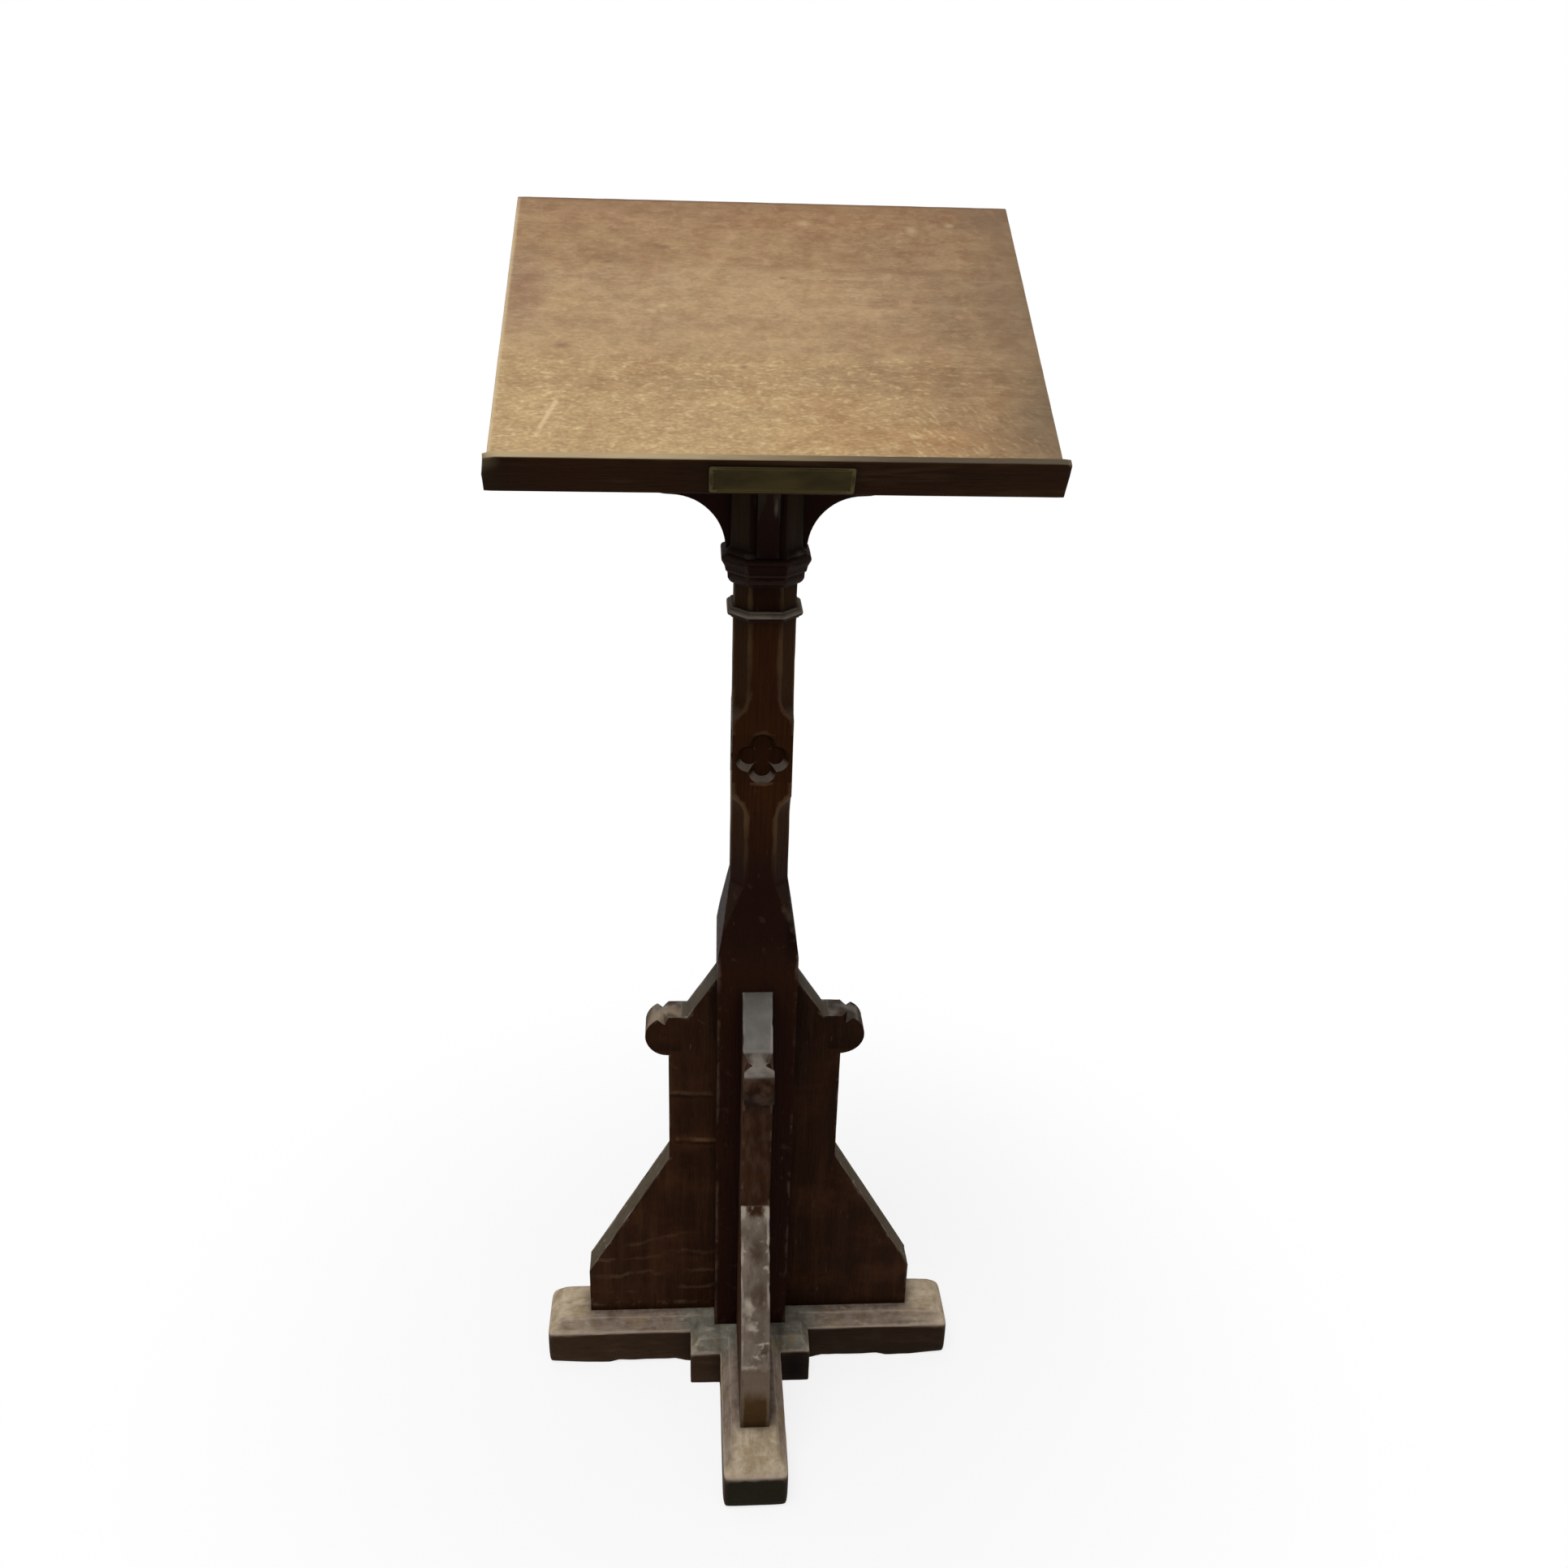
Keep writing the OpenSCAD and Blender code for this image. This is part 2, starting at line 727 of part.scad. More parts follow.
module ledge_dowels() {
    color(peg_oak) ledge_dowel_set();
}

// End view of the ledge, with softened edges. Its back is at zero and it reaches forwards and down.
function ledge_end() =
    let (r = ledge_round, front = -ledge_thickness, top = ledge_lip, foot = ledge_lip - ledge_height)
    concat(
        [[0, foot]], arc(front + r, foot + r, r, 270, 180, edge_steps),
        arc(front + r, top - r, r, 180, 90, edge_steps), arc(-r, top - r, r, 90, 0, edge_steps)
    );

module book_ledge() {
    color(dark_oak) difference() {
        on_slope() translate([0, -board_depth / 2, 0]) rotate([90, 0, 90])
            linear_extrude(board_width + 2 * ledge_over, center = true) polygon(ledge_end());
        ledge_dowel_set(fit_gap);
        at_plate_pins() plate_pin(fit_gap);
    }
}

// Plate

pin_head = 2 * pin_diameter;
pin_length = 5;
pin_inset = 4;
plate_corner = 2;
plate_middle = ledge_lip - ledge_height + plate_rise + plate_height / 2;

// Moves what is drawn flat to the ledge's front, facing the reader
module on_ledge_front() {
    on_slope() translate([plate_shift, -board_depth / 2 - ledge_thickness, plate_middle]) rotate([90, 0, 0])
        children();
}

module at_plate_pins() {
    out_x = plate_width / 2 - pin_inset;
    out_y = plate_height / 2 - pin_inset;
    for (x = [-out_x, out_x], y = [-out_y, out_y]) on_ledge_front() translate([x, y, 0]) children();
}

// A pin with a low domed head on the plate's face
module plate_pin(gap = 0) {
    shank = pin_diameter / 2 + gap;
    dome = [for (i = [0 : edge_steps]) let (a = 90 * i / edge_steps)
        [pin_head / 2 * cos(a), plate_thickness + pin_head / 4 * sin(a)]];
    rotate_extrude($fn = hole_facets)
        polygon(concat([[0, -pin_length - gap], [shank, -pin_length - gap], [shank, plate_thickness]], dome));
}

module name_plate() {
    out_x = plate_width / 2 - plate_corner;
    out_y = plate_height / 2 - plate_corner;
    color(old_brass) difference() {
        on_ledge_front() linear_extrude(plate_thickness) polygon(concat(
            arc(out_x, out_y, plate_corner, 0, 90, edge_steps),
            arc(-out_x, out_y, plate_corner, 90, 180, edge_steps),
            arc(-out_x, -out_y, plate_corner, 180, 270, edge_steps),
            arc(out_x, -out_y, plate_corner, 270, 360, edge_steps)
        ));
        at_plate_pins() translate([0, 0, -1])
            cylinder(h = plate_thickness + 2, d = pin_diameter + 2 * fit_gap, $fn = hole_facets);
    }
}

module plate_pins() {
    color(old_brass) at_plate_pins() plate_pin();
}

foot_beam_across();
foot_beam_along();
corner_block(-1, -1);  // corner_block_front_left
corner_block(1, -1);  // corner_block_front_right
corner_block(-1, 1);  // corner_block_back_left
corner_block(1, 1);  // corner_block_back_right
post();
foot_wedges();
buttress(left_turn);  // buttress_left
buttress(right_turn);  // buttress_right
buttress(front_turn);  // buttress_front
buttress(back_turn);  // buttress_back
necking_ring();
capital();
head_block();
head_wedge();
ogee_bracket(left_turn);  // bracket_left
ogee_bracket(right_turn);  // bracket_right
front_bracket();  // bracket_front
ogee_bracket(back_turn);  // bracket_back
plank(0);  // board_plank_lower
plank(1);  // board_plank_middle
plank(2);  // board_plank_upper
batten(-1);  // batten_left
batten(1);  // batten_right
batten_screws();
bracket_dowels();
book_ledge();
ledge_dowels();
name_plate();
plate_pins();
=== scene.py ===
# %% [markdown]
# # An oak lectern, dressed
#
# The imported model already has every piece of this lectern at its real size: a cross-shaped foot,
# a post between four buttresses, a moulded neck and a sloping board with a ledge. Its surfaces are
# as clean as a drawing, though, and the real one is a century of knocks, polish and dust. This
# lesson leaves each piece where it is and gives it that surface: softened arrises, small dents,
# the grain of its own timber, and finishes that are darker in the nooks and paler where hands,
# feet and books have rubbed.

# %% Load the fixed frame
import math
import random

import bmesh
import bpy
from mathutils import Matrix, Vector, kdtree, noise
from mathutils.bvhtree import BVHTree


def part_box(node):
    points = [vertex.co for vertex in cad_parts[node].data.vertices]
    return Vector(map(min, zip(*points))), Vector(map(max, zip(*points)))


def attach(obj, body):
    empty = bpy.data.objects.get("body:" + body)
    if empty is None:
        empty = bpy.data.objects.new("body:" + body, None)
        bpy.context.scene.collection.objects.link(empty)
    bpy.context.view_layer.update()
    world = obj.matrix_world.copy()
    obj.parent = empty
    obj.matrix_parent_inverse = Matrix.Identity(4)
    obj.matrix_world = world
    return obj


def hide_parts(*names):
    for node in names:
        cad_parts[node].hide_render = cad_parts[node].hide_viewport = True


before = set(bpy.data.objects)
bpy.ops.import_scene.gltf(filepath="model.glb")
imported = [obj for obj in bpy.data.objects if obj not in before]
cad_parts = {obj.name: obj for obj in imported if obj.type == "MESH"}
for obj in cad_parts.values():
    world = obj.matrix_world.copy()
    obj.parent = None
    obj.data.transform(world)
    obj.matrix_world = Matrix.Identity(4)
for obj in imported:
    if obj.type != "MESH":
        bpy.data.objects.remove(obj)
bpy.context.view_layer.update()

# %% [markdown]
# The photograph was taken standing close to the lectern and looking down on it, so the board is
# large and the foot is small. The camera is described the way a photographer would describe it:
# where it stood, which way it was turned, how far it was tilted and rolled, and its lens. Aiming
# it with a constraint would be shorter, but a constraint keeps the camera level.

# %% Camera
PHOTO_PIXELS = 1932
FOCAL_PIXELS = 1786.7
SENSOR = 36
CAMERA_PLACE = Vector((-0.0691, -1.2741, 1.3754))
HEADING = math.radians(4.149)
TILT = math.radians(-26.290)
ROLL = math.radians(1.790)


def camera_matrix(place, heading, tilt, roll):
    """Where a camera stands and how it is turned, from angles a person can picture."""
    forward = Vector((math.sin(heading) * math.cos(tilt), math.cos(heading) * math.cos(tilt), math.sin(tilt)))
    level = Vector((math.cos(heading), -math.sin(heading), 0))
    above = level.cross(forward)
    right = level * math.cos(roll) + above * math.sin(roll)
    up = above * math.cos(roll) - level * math.sin(roll)
    return Matrix.Translation(place) @ Matrix((right, up, -forward)).transposed().to_4x4()


camera_data = bpy.data.cameras.new("camera")
camera_data.sensor_width = SENSOR
camera_data.lens = FOCAL_PIXELS * SENSOR / PHOTO_PIXELS
camera = bpy.data.objects.new("camera", camera_data)
bpy.context.scene.collection.objects.link(camera)
camera.matrix_world = camera_matrix(CAMERA_PLACE, HEADING, TILT, ROLL)
bpy.context.scene.camera = camera
bpy.context.scene.view_settings.view_transform = "Standard"
print("lens:", round(camera_data.lens, 2), "mm")

# %% [markdown]
# Shader maths reads best as sums. `Tone` wraps one socket, so that `1 - mask` or
# `grain * 0.3 + stain` adds its own Math nodes. `Nodes` is the tree that they go into, of a
# material or of the world. Its one method `node` makes any node: the settings go in first, then
# values or links for the inputs. `Finish` is a material.

# %% Shader sums


class Tone:
    """One socket in a tree of nodes, for use in Python sums."""

    def __init__(self, nodes, made, socket):
        self.nodes, self.made, self.socket = nodes, made, socket

    def other(self, name):
        """Another output of the node that this one comes from."""
        return Tone(self.nodes, self.made, find_socket(self.made.outputs, name))

    def sum(self, operation, first, second):
        return self.nodes.node("Math", {"operation": operation}, {"Value": first, "Value_001": second})

    def __add__(self, number):
        return self.sum("ADD", self, number)

    def __mul__(self, number):
        return self.sum("MULTIPLY", self, number)

    def __sub__(self, number):
        return self.sum("SUBTRACT", self, number)

    def __rsub__(self, number):
        return self.sum("SUBTRACT", number, self)

    __radd__ = __add__
    __rmul__ = __mul__

    def size(self):
        """The number without its sign."""
        return self.sum("ABSOLUTE", self, 0)

    def wave(self, length):
        """Goes from -1 to 1 and back each time the number grows by a length."""
        return self.sum("SINE", self * (2 * math.pi / length), 0)

    def at_least(self, number):
        return self.sum("MAXIMUM", self, number)

    def at_most(self, number):
        return self.sum("MINIMUM", self, number)

    def rise(self, low, high):
        """0 below low, 1 above high, and a smooth step between them."""
        settings = {"interpolation_type": "SMOOTHSTEP"}
        return self.nodes.node("MapRange", settings, {"Value": self, "From Min": low, "From Max": high})

    def fall(self, low, high):
        """1 below low, 0 above high, and a smooth step between them."""
        return 1 - self.rise(low, high)


def find_socket(sockets, name):
    """A socket by its identifier, which stays the same when two sockets share a name."""
    return next(s for s in sockets if s.identifier == name)


class Nodes:
    """The nodes of a material or of the world."""

    def __init__(self, tree):
        self.tree = tree

    def node(self, kind, settings=None, inputs=None):
        made = self.tree.nodes.new("ShaderNode" + kind)
        for name, value in (settings or {}).items():
            setattr(made, name, value)
        for name, value in (inputs or {}).items():
            self.feed(find_socket(made.inputs, name), value)
        shown = [s for s in made.outputs if s.enabled]
        return Tone(self, made, shown[0])

    def feed(self, socket, value):
        if isinstance(value, Tone):
            self.tree.links.new(value.socket, socket)
        else:
            socket.default_value = value

    def between(self, share, first, second):
        """A colour that goes from the first to the second."""
        inputs = {"Factor_Float": share, "A_Color": first, "B_Color": second}
        return self.node("Mix", {"data_type": "RGBA"}, inputs)

    def scaled(self, vector, share):
        """A colour made darker, or a vector made shorter, by a number."""
        return self.node("VectorMath", {"operation": "SCALE"}, {"Vector": vector, "Scale": share})

    def vector_sum(self, operation, first, second):
        return self.node("VectorMath", {"operation": operation}, {"Vector": first, "Vector_001": second})

    def stretched(self, vector, factors):
        return self.vector_sum("MULTIPLY", vector, factors)

    def moved(self, vector, step):
        return self.vector_sum("ADD", vector, step)

    def along(self, vector, direction):
        """How far a vector reaches in a direction."""
        return self.vector_sum("DOT_PRODUCT", vector, direction).other("Value")

    def length(self, vector):
        return self.node("VectorMath", {"operation": "LENGTH"}, {"Vector": vector}).other("Value")

    def parts(self, vector):
        split = self.node("SeparateXYZ", {}, {"Vector": vector})
        return [split.other(axis) for axis in "XYZ"]

    def clouds(self, vector, factors, detail=2.0, roughness=0.5):
        """Noise around 0.5. The factors say how many clouds a metre holds, in all or along each axis."""
        each = factors if isinstance(factors, tuple) else (factors,) * 3
        inputs = {"Vector": self.stretched(vector, each), "Scale": 1.0}
        return self.node("TexNoise", {}, {**inputs, "Detail": detail, "Roughness": roughness})

    def ragged(self, vector, factors, detail, reach):
        """A vector pushed about by noise, for ragged edges."""
        return self.moved(vector, self.scaled(self.clouds(vector, factors, detail).other("Color"), reach))

    def pool(self, place, middle, reach):
        """A soft oval: 1 in its middle, 0 at its rim."""
        apart = self.moved(place, tuple(-m for m in middle))
        return self.length(self.stretched(apart, tuple(1 / r for r in reach))).fall(0, 1)

    def stroke(self, place, start, end, width):
        """A line from one place to another: 1 on it, 0 at its width away."""
        run = Vector(end) - Vector(start)
        apart = self.moved(place, tuple(-Vector(start)))
        share = self.along(apart, tuple(run / run.length_squared)).at_least(0).at_most(1)
        gap = self.length(self.vector_sum("SUBTRACT", apart, self.scaled(tuple(run), share)))
        return gap.fall(0.3 * width, width)


class Finish(Nodes):
    """A material."""

    def __init__(self, name):
        self.name = name
        self.material = bpy.data.materials.new(name)
        self.material.use_nodes = True
        super().__init__(self.material.node_tree)
        self.shader = self.tree.nodes["Principled BSDF"]

    def set(self, **inputs):
        """Feeds the shader's own sockets, with spaces written as underscores."""
        for name, value in inputs.items():
            self.feed(find_socket(self.shader.inputs, name.replace("_", " ")), value)

    def attribute(self, name, output):
        return self.node("Attribute", {"attribute_name": name}).other(output)

    def bump(self, height, depth):
        """Turns a height from 0 to 1 into a normal, for a depth in metres."""
        return self.node("Bump", {}, {"Strength": 1.0, "Distance": depth, "Height": height})


def rgb(red, green, blue):
    """A colour as a screen shows it, from 0 to 255, in the linear values that a shader uses."""
    shares = [c / 255 for c in (red, green, blue)]
    return tuple(s / 12.92 if s <= 0.04045 else ((s + 0.055) / 1.055) ** 2.4 for s in shares) + (1.0,)


print("shader sums ready")

# %% [markdown]
# A studio for a dark object: two large soft lamps high up, one a little behind and one in front of
# the board, light the tops without leaving the foot in the board's shade. A weak one from the
# right and the pale world keep the upright faces readable. The floor and the world are white to
# the camera. Near the foot, the floor is lit like any floor, so the shadow stays. Further out it
# turns to plain white, and no horizon shows. A curved backdrop would do that too, but it would
# hide the object from behind.

# %% Studio
WORLD_LIGHT = 0.22
FLOOR_SIDE = 30
SHADOW_SHARE = 0.18
SHADOW_FADES = (0.25, 0.85)
LAMPS = {
    "ceiling": {"place": (-0.8, 0.5, 6.2), "side": 5.0, "watts": 115},
    "skylight": {"place": (-0.9, -1.3, 5.0), "side": 2.0, "watts": 100},
    "room": {"place": (1.9, -1.5, 1.9), "side": 1.6, "watts": 4},
}
AIM = Vector((0, 0, 0.75))


def add_lamp(name, place, side, watts):
    lamp = bpy.data.lights.new(name, "AREA")
    lamp.energy, lamp.size = watts, side
    holder = bpy.data.objects.new(name, lamp)
    holder.location = place
    holder.rotation_euler = (AIM - Vector(place)).to_track_quat("-Z", "Y").to_euler()
    bpy.context.scene.collection.objects.link(holder)


for lamp_name, lamp_facts in LAMPS.items():
    add_lamp(lamp_name, **lamp_facts)


def seen_directly(nodes):
    """1 for the camera's own rays and for those that metal or glass sends on, 0 for light on the object."""
    path = nodes.node("LightPath")
    rays = [path.other(ray) for ray in ("Is Camera Ray", "Is Glossy Ray", "Is Transmission Ray")]
    return rays[0].at_least(rays[1]).at_least(rays[2])


def add_world():
    world = bpy.data.worlds.new("white_studio")
    world.use_nodes = True
    bpy.context.scene.world = world
    sky = Nodes(world.node_tree)
    background = world.node_tree.nodes["Background"]
    background.inputs["Color"].default_value = (1, 1, 1, 1)
    sky.feed(background.inputs["Strength"], seen_directly(sky) * (1 - WORLD_LIGHT) + WORLD_LIGHT)


def floor_finish():
    finish = Finish("pale_floor")
    finish.set(Base_Color=(0.9, 0.9, 0.9, 1), Roughness=0.9)
    place = finish.node("NewGeometry").other("Position")
    lit = SHADOW_SHARE * finish.length(place).fall(*SHADOW_FADES)
    white = finish.node("Emission", {}, {"Color": (1, 1, 1, 1), "Strength": 1.0})
    share = seen_directly(finish) * (1 - lit)
    plain = Tone(finish, finish.shader, finish.shader.outputs[0])
    mixed = finish.node("MixShader", {}, {"Fac": share, "Shader": plain, "Shader_001": white})
    output = finish.tree.nodes["Material Output"]
    finish.feed(output.inputs["Surface"], mixed)
    return finish.material


add_world()
bpy.ops.mesh.primitive_plane_add(size=FLOOR_SIDE)
floor = bpy.context.object
floor.name = "floor"
floor.data.materials.append(floor_finish())
print("lamps:", sorted(LAMPS))

# %% [markdown]
# Every finish starts from the same timber. Oak is drawn in the piece's own directions, which each
# worn mesh carries in its `grain` attribute: first along the fibres, then across, then through.
# Stretching noise along the fibres gives what the eye reads as wood: slow bands where the growth
# rings meet the surface, and fine dark pores. What the years laid over it is then painted on in
# coats, and so are some painted shade and painted highlights, so `Oak` keeps a body colour that
# each coat changes where its mask is 1. A ready wood texture would be quicker, but it can't know
# where this lectern was rubbed and where the dust lay.

# %% Oak
MM = 0.001
RINGS = (2.2, 60, 60)
FIBRES = (18, 520, 520)
PORES = (55, 900, 900)
PATCHES = (5, 9, 9)
SWAY = 20 * MM
BODY_ROUGH = 0.5
FINISHES = {}


def mm(*lengths):
    return tuple(length * MM for length in lengths)


class Oak(Finish):
    """Timber, and the coats over it."""

    def __init__(self, name, deep, middle, pale, pore_share=0.4):
        super().__init__(name)
        straight = self.attribute("grain", "Vector")
        drift = self.clouds(straight, (3, 8, 8)) - 0.5
        sway = self.node("CombineXYZ", {}, {"X": 0.0, "Y": drift * SWAY, "Z": drift * SWAY})
        self.grain = self.moved(straight, sway)
        self.place = self.node("TexCoord").other("Object")
        across, _, self.up = self.parts(self.node("NewGeometry").other("Normal"))
        self.side = across.size()
        self.wear = self.attribute("wear", "Fac")
        self.nook = self.attribute("nook", "Fac")
        self.fibres = self.clouds(self.grain, FIBRES, 3).rise(0.25, 0.75)
        pores = self.clouds(self.grain, PORES, 1).rise(0.58, 0.72)
        rings = self.clouds(self.grain, RINGS, 3).rise(0.30, 0.70)
        patches = self.clouds(self.grain, PATCHES, 3).rise(0.35, 0.75)
        self.body = self.between(rings * 0.55 + self.fibres * 0.45, deep, middle)
        self.paint(patches * 0.6, pale)
        self.shade(pores * pore_share)
        self.rough = BODY_ROUGH + 0.12 * self.fibres
        self.height = self.fibres * 0.5 - pores * 0.6 + rings * 0.3

    def paint(self, mask, tint, roughness=0.0):
        """A coat of another colour, which can be duller than the polish."""
        self.body = self.between(mask, self.body, tint)
        if roughness:
            self.rough = self.rough + roughness * mask

    def shade(self, mask):
        """Darkens the body, by all its light where the mask is 1."""
        self.body = self.scaled(self.body, 1 - mask)

    def speckle(self, factors, low, high, detail=2.0):
        """Broken spots in the grain's own directions."""
        return self.clouds(self.grain, factors, detail).rise(low, high)

    def arrises(self, low=0.45, high=0.75, factors=(35, 60, 60)):
        """A broken line along the arrises, where handling has taken the polish off."""
        return (self.wear + 0.55 * (self.clouds(self.grain, factors, 3) - 0.5)).rise(low, high)

    def chamfers(self):
        """1 on the upright faces that are turned halfway to the side."""
        return self.side.rise(0.30, 0.50) * self.side.fall(0.85, 0.95)

    def done(self, nook_shade_and_dirt=0.0, shine=0.03, depth=0.4 * MM):
        """Darkens the nooks with painted shade and dirt, and feeds the shader."""
        # Painted shade and dirt in the nooks near neighbouring pieces
        if nook_shade_and_dirt:
            self.shade(self.nook * nook_shade_and_dirt)
        normal = self.bump(self.height, depth)
        self.set(Base_Color=self.body, Roughness=self.rough.at_most(0.95), Normal=normal)
        self.set(Specular_IOR_Level=shine)
        return self


def keep(finish):
    """Files a finish under its name, and says how many nodes it took."""
    FINISHES[finish.name] = finish.material
    print(finish.name, "nodes:", len(finish.tree.nodes))


print("rings, fibres and pores a metre:", RINGS[1], FIBRES[1], PORES[1])

# %% [markdown]
# The foot is the most worn part. Shoes and mops have taken the polish off all that faces up: it is
# pinkish grey along the arms, cream at their ends and greenish on the blocks in the corners, where
# nobody treads. The upright sides kept their brown; painted shade darkens those of the right arm,
# and the front of the right front block is darker still. How far a place lies out along its arm
# says which of the three it is, and the surface's own normal says whether it faces up. Masks
# painted by hand would do too, but these follow the shape.

# %% The foot's finish
PALE = mm(172, 198)
STRIP = mm(20, 27)
STRIP_ENDS = mm(214, 228)
BLOCKS = mm(62, 96)
END_GRAIN = mm(231, 234)
# The darker front of the right front corner block: its middle and its reach
DARK_BLOCK_FACE = mm(52, -69, 20)
DARK_FACE_REACH = mm(32, 14, 70)
BLUR = 30 * MM
SHADED_RIGHT_ARM = mm(50, 90)
DIM_FRONT_TIP = mm(-210, -180)
# How far a face looks up, from 0 when it is upright to 1 when it lies flat
FACES_UP = (0.10, 0.38)
LIES_FLAT = (0.86, 0.96)


def foot_finish():
    oak = Oak("worn_foot_oak", rgb(48, 32, 20), rgb(64, 45, 30), rgb(76, 57, 41))
    x, y, _ = oak.parts(oak.place)
    reach = x.size().at_least(y.size())
    blurred = reach + BLUR * (oak.clouds(oak.place, 40, 3) - 0.5)
    strips = x.size().at_most(y.size()).rise(*STRIP)
    strips = strips * reach.fall(*STRIP_ENDS)
    ends = blurred.rise(*PALE) * (1 - 0.7 * strips)
    middle = blurred.fall(*BLOCKS)
    tops = oak.up.rise(*FACES_UP)
    bevels = tops * oak.up.fall(*LIES_FLAT)
    sides = 1 - tops
    oak.paint(oak.speckle((26, 90, 90), 0.50, 0.75, 3) * sides * 0.35, rgb(88, 70, 52))
    scuffs = oak.clouds(oak.place, 85, 5, 0.65).rise(0.30, 0.70)
    streaks = 0.4 * oak.speckle((24, 150, 150), 0.25, 0.75, 4) + 0.6 * scuffs
    grey = oak.between(streaks, rgb(112, 95, 81), rgb(164, 146, 131))
    green = oak.between(streaks, rgb(108, 103, 90), rgb(154, 149, 136))
    cream = oak.between(streaks, rgb(160, 139, 111), rgb(216, 198, 172))
    oak.paint(tops, oak.between(ends, oak.between(middle, grey, green), cream), 0.25)
    oak.paint(reach.rise(*END_GRAIN) * sides * 0.9, rgb(31, 29, 20), 0.1)
    oak.paint(oak.clouds(oak.place, 34, 3).rise(0.50, 0.68) * bevels * 0.5, rgb(150, 128, 90))
    oak.paint(oak.clouds(oak.place, 30, 4).rise(0.52, 0.66) * tops * ends * 0.45, rgb(148, 126, 88))
    oak.paint(oak.speckle((50, 140, 140), 0.56, 0.74, 3) * tops * (1 - 0.6 * ends) * 0.4, rgb(106, 90, 76))
    oak.paint(oak.speckle((70, 150, 150), 0.60, 0.72) * tops * 0.3, rgb(206, 190, 170))
    rub = oak.arrises(0.35, 0.65, 60) * oak.up.rise(0.0, 0.3) * oak.up.fall(0.55, 0.80)
    oak.paint(rub * 0.5, rgb(200, 180, 160), 0.1)
    # Painted shade on the right arm's upright sides
    oak.shade(x.rise(*SHADED_RIGHT_ARM) * sides * 0.42)
    # Darkens the front of the right front corner block
    oak.shade(oak.pool(oak.place, DARK_BLOCK_FACE, DARK_FACE_REACH) * sides * 0.95)
    oak.shade(y.fall(*DIM_FRONT_TIP) * tops * 0.08)
    return oak.done(nook_shade_and_dirt=0.4)


keep(foot_finish())

# %% [markdown]
# A buttress is dark on its sides and grey on its slopes, where dust has settled into dull polish.
# Hands have mottled the tops of the round lobes, the left one cream, and their necks are dark. On
# the low slope in front the grey breaks up into stains, with pale chips along its arrises. The
# sides carry cracks and scratches, and each is a stroke between two places measured on the real
# one; a crack is a painted highlight on its lip over a painted shadow below. Painted shade darkens
# the right buttress, the lower part of each lobe's round face and the front stem under its lobe.
# Chips could be cut into the mesh, but the real ones are flat, so they are ragged pools of colour.
# All four share the finish, and masks tell them apart by their place.

# %% The buttresses' finish
LOBE_FROM = 76 * MM
LOBE_LOW, LOBE_HIGH = 435 * MM, 480 * MM
NECK_OF_LOBE = 91 * MM
LEFT_AND_RIGHT = mm(30, 45)
FRONT_ONE = mm(-45, -40)
LEFT_LOBE = mm(-64, -60)
SLOPE_BREAK = mm(290, 300)
STRAIGHT_FROM = mm(180, 183)
TOE_FACE = mm(-172, -170)
TOE_SCUFFED = mm(98, 120)
TOE_MARGINS = mm(11, 13)
LEFT_ARM = mm(-20, 20)
SHADED_RIGHT_BUTTRESS = mm(20, 60)
CALM_RIGHT = mm(50, 100)
DIM_TOP = mm(400, 470)
RIPPLE = 25 * MM
RIPPLES_STOP = mm(150, 210)
SCUFF_HEIGHT = 74 * MM
# All that follows is in millimetres
WAIST_HEIGHT, WAIST_OUT = 290, 92
TOE_HEIGHT, TOE_OUT = 125, 185
HALF_THICK = 15.5
RAGGED = 14
LIP = 4
# Cracks: two ends, the width, and the colour of the painted highlight on the lip
CRACKS = (
    ((-88, 382), (-44, 380), 4.4, rgb(90, 69, 52)), ((-80, 319), (-34, 316), 5.0, rgb(118, 82, 54)),
)
SCRATCHES = (
    ((-71, 484), (-58, 477), 2.2), ((-58, 477), (-45, 467), 2.6), ((-86, 420), (-80, 414), 3.0),
    ((-60, 470), (-52, 440), 1.2), ((96, 210), (88, 224), 2.0), ((52, 250), (60, 226), 1.2),
    ((112, 118), (124, 112), 2.2), ((60, 150), (74, 146), 1.6),
)
# Chips on the front buttress's low slope: across, height, and reach across and along
CHIPS = (
    (-13, 284, 6, 14), (13, 282, 6, 16), (14, 232, 6, 8), (-9, 192, 9, 28), (-14, 246, 4, 20),
    (-3, 178, 8, 10), (8, 163, 12, 4), (-7, 141, 14, 5), (11, 137, 9, 5), (15, 258, 4, 22), (4, 152, 12, 4),
)
BARE_TOP = (0, 292, 13, 22)
STAINS = ((0, 284, 9, 14), (6, 205, 10, 26), (2, 245, 11, 20), (10, 155, 8, 12), (0, 131, 18, 5))


def side_stroke(oak, shaken, start, end, width):
    """A mark on the side of a buttress that faces the reader."""
    places = [(across * MM, -HALF_THICK * MM, up * MM) for across, up in (start, end)]
    return oak.stroke(shaken, *places, width * MM)


def slope_pool(oak, shaken, across, height, wide, long):
    """A spot on the front buttress's low slope."""
    down = (WAIST_HEIGHT - height) / (WAIST_HEIGHT - TOE_HEIGHT)
    out = WAIST_OUT + (TOE_OUT - WAIST_OUT) * down
    middle = [m + RAGGED / 2 for m in (across, -out, height)]
    return oak.pool(shaken, tuple(m * MM for m in middle), (wide * MM, long * MM, long * MM))


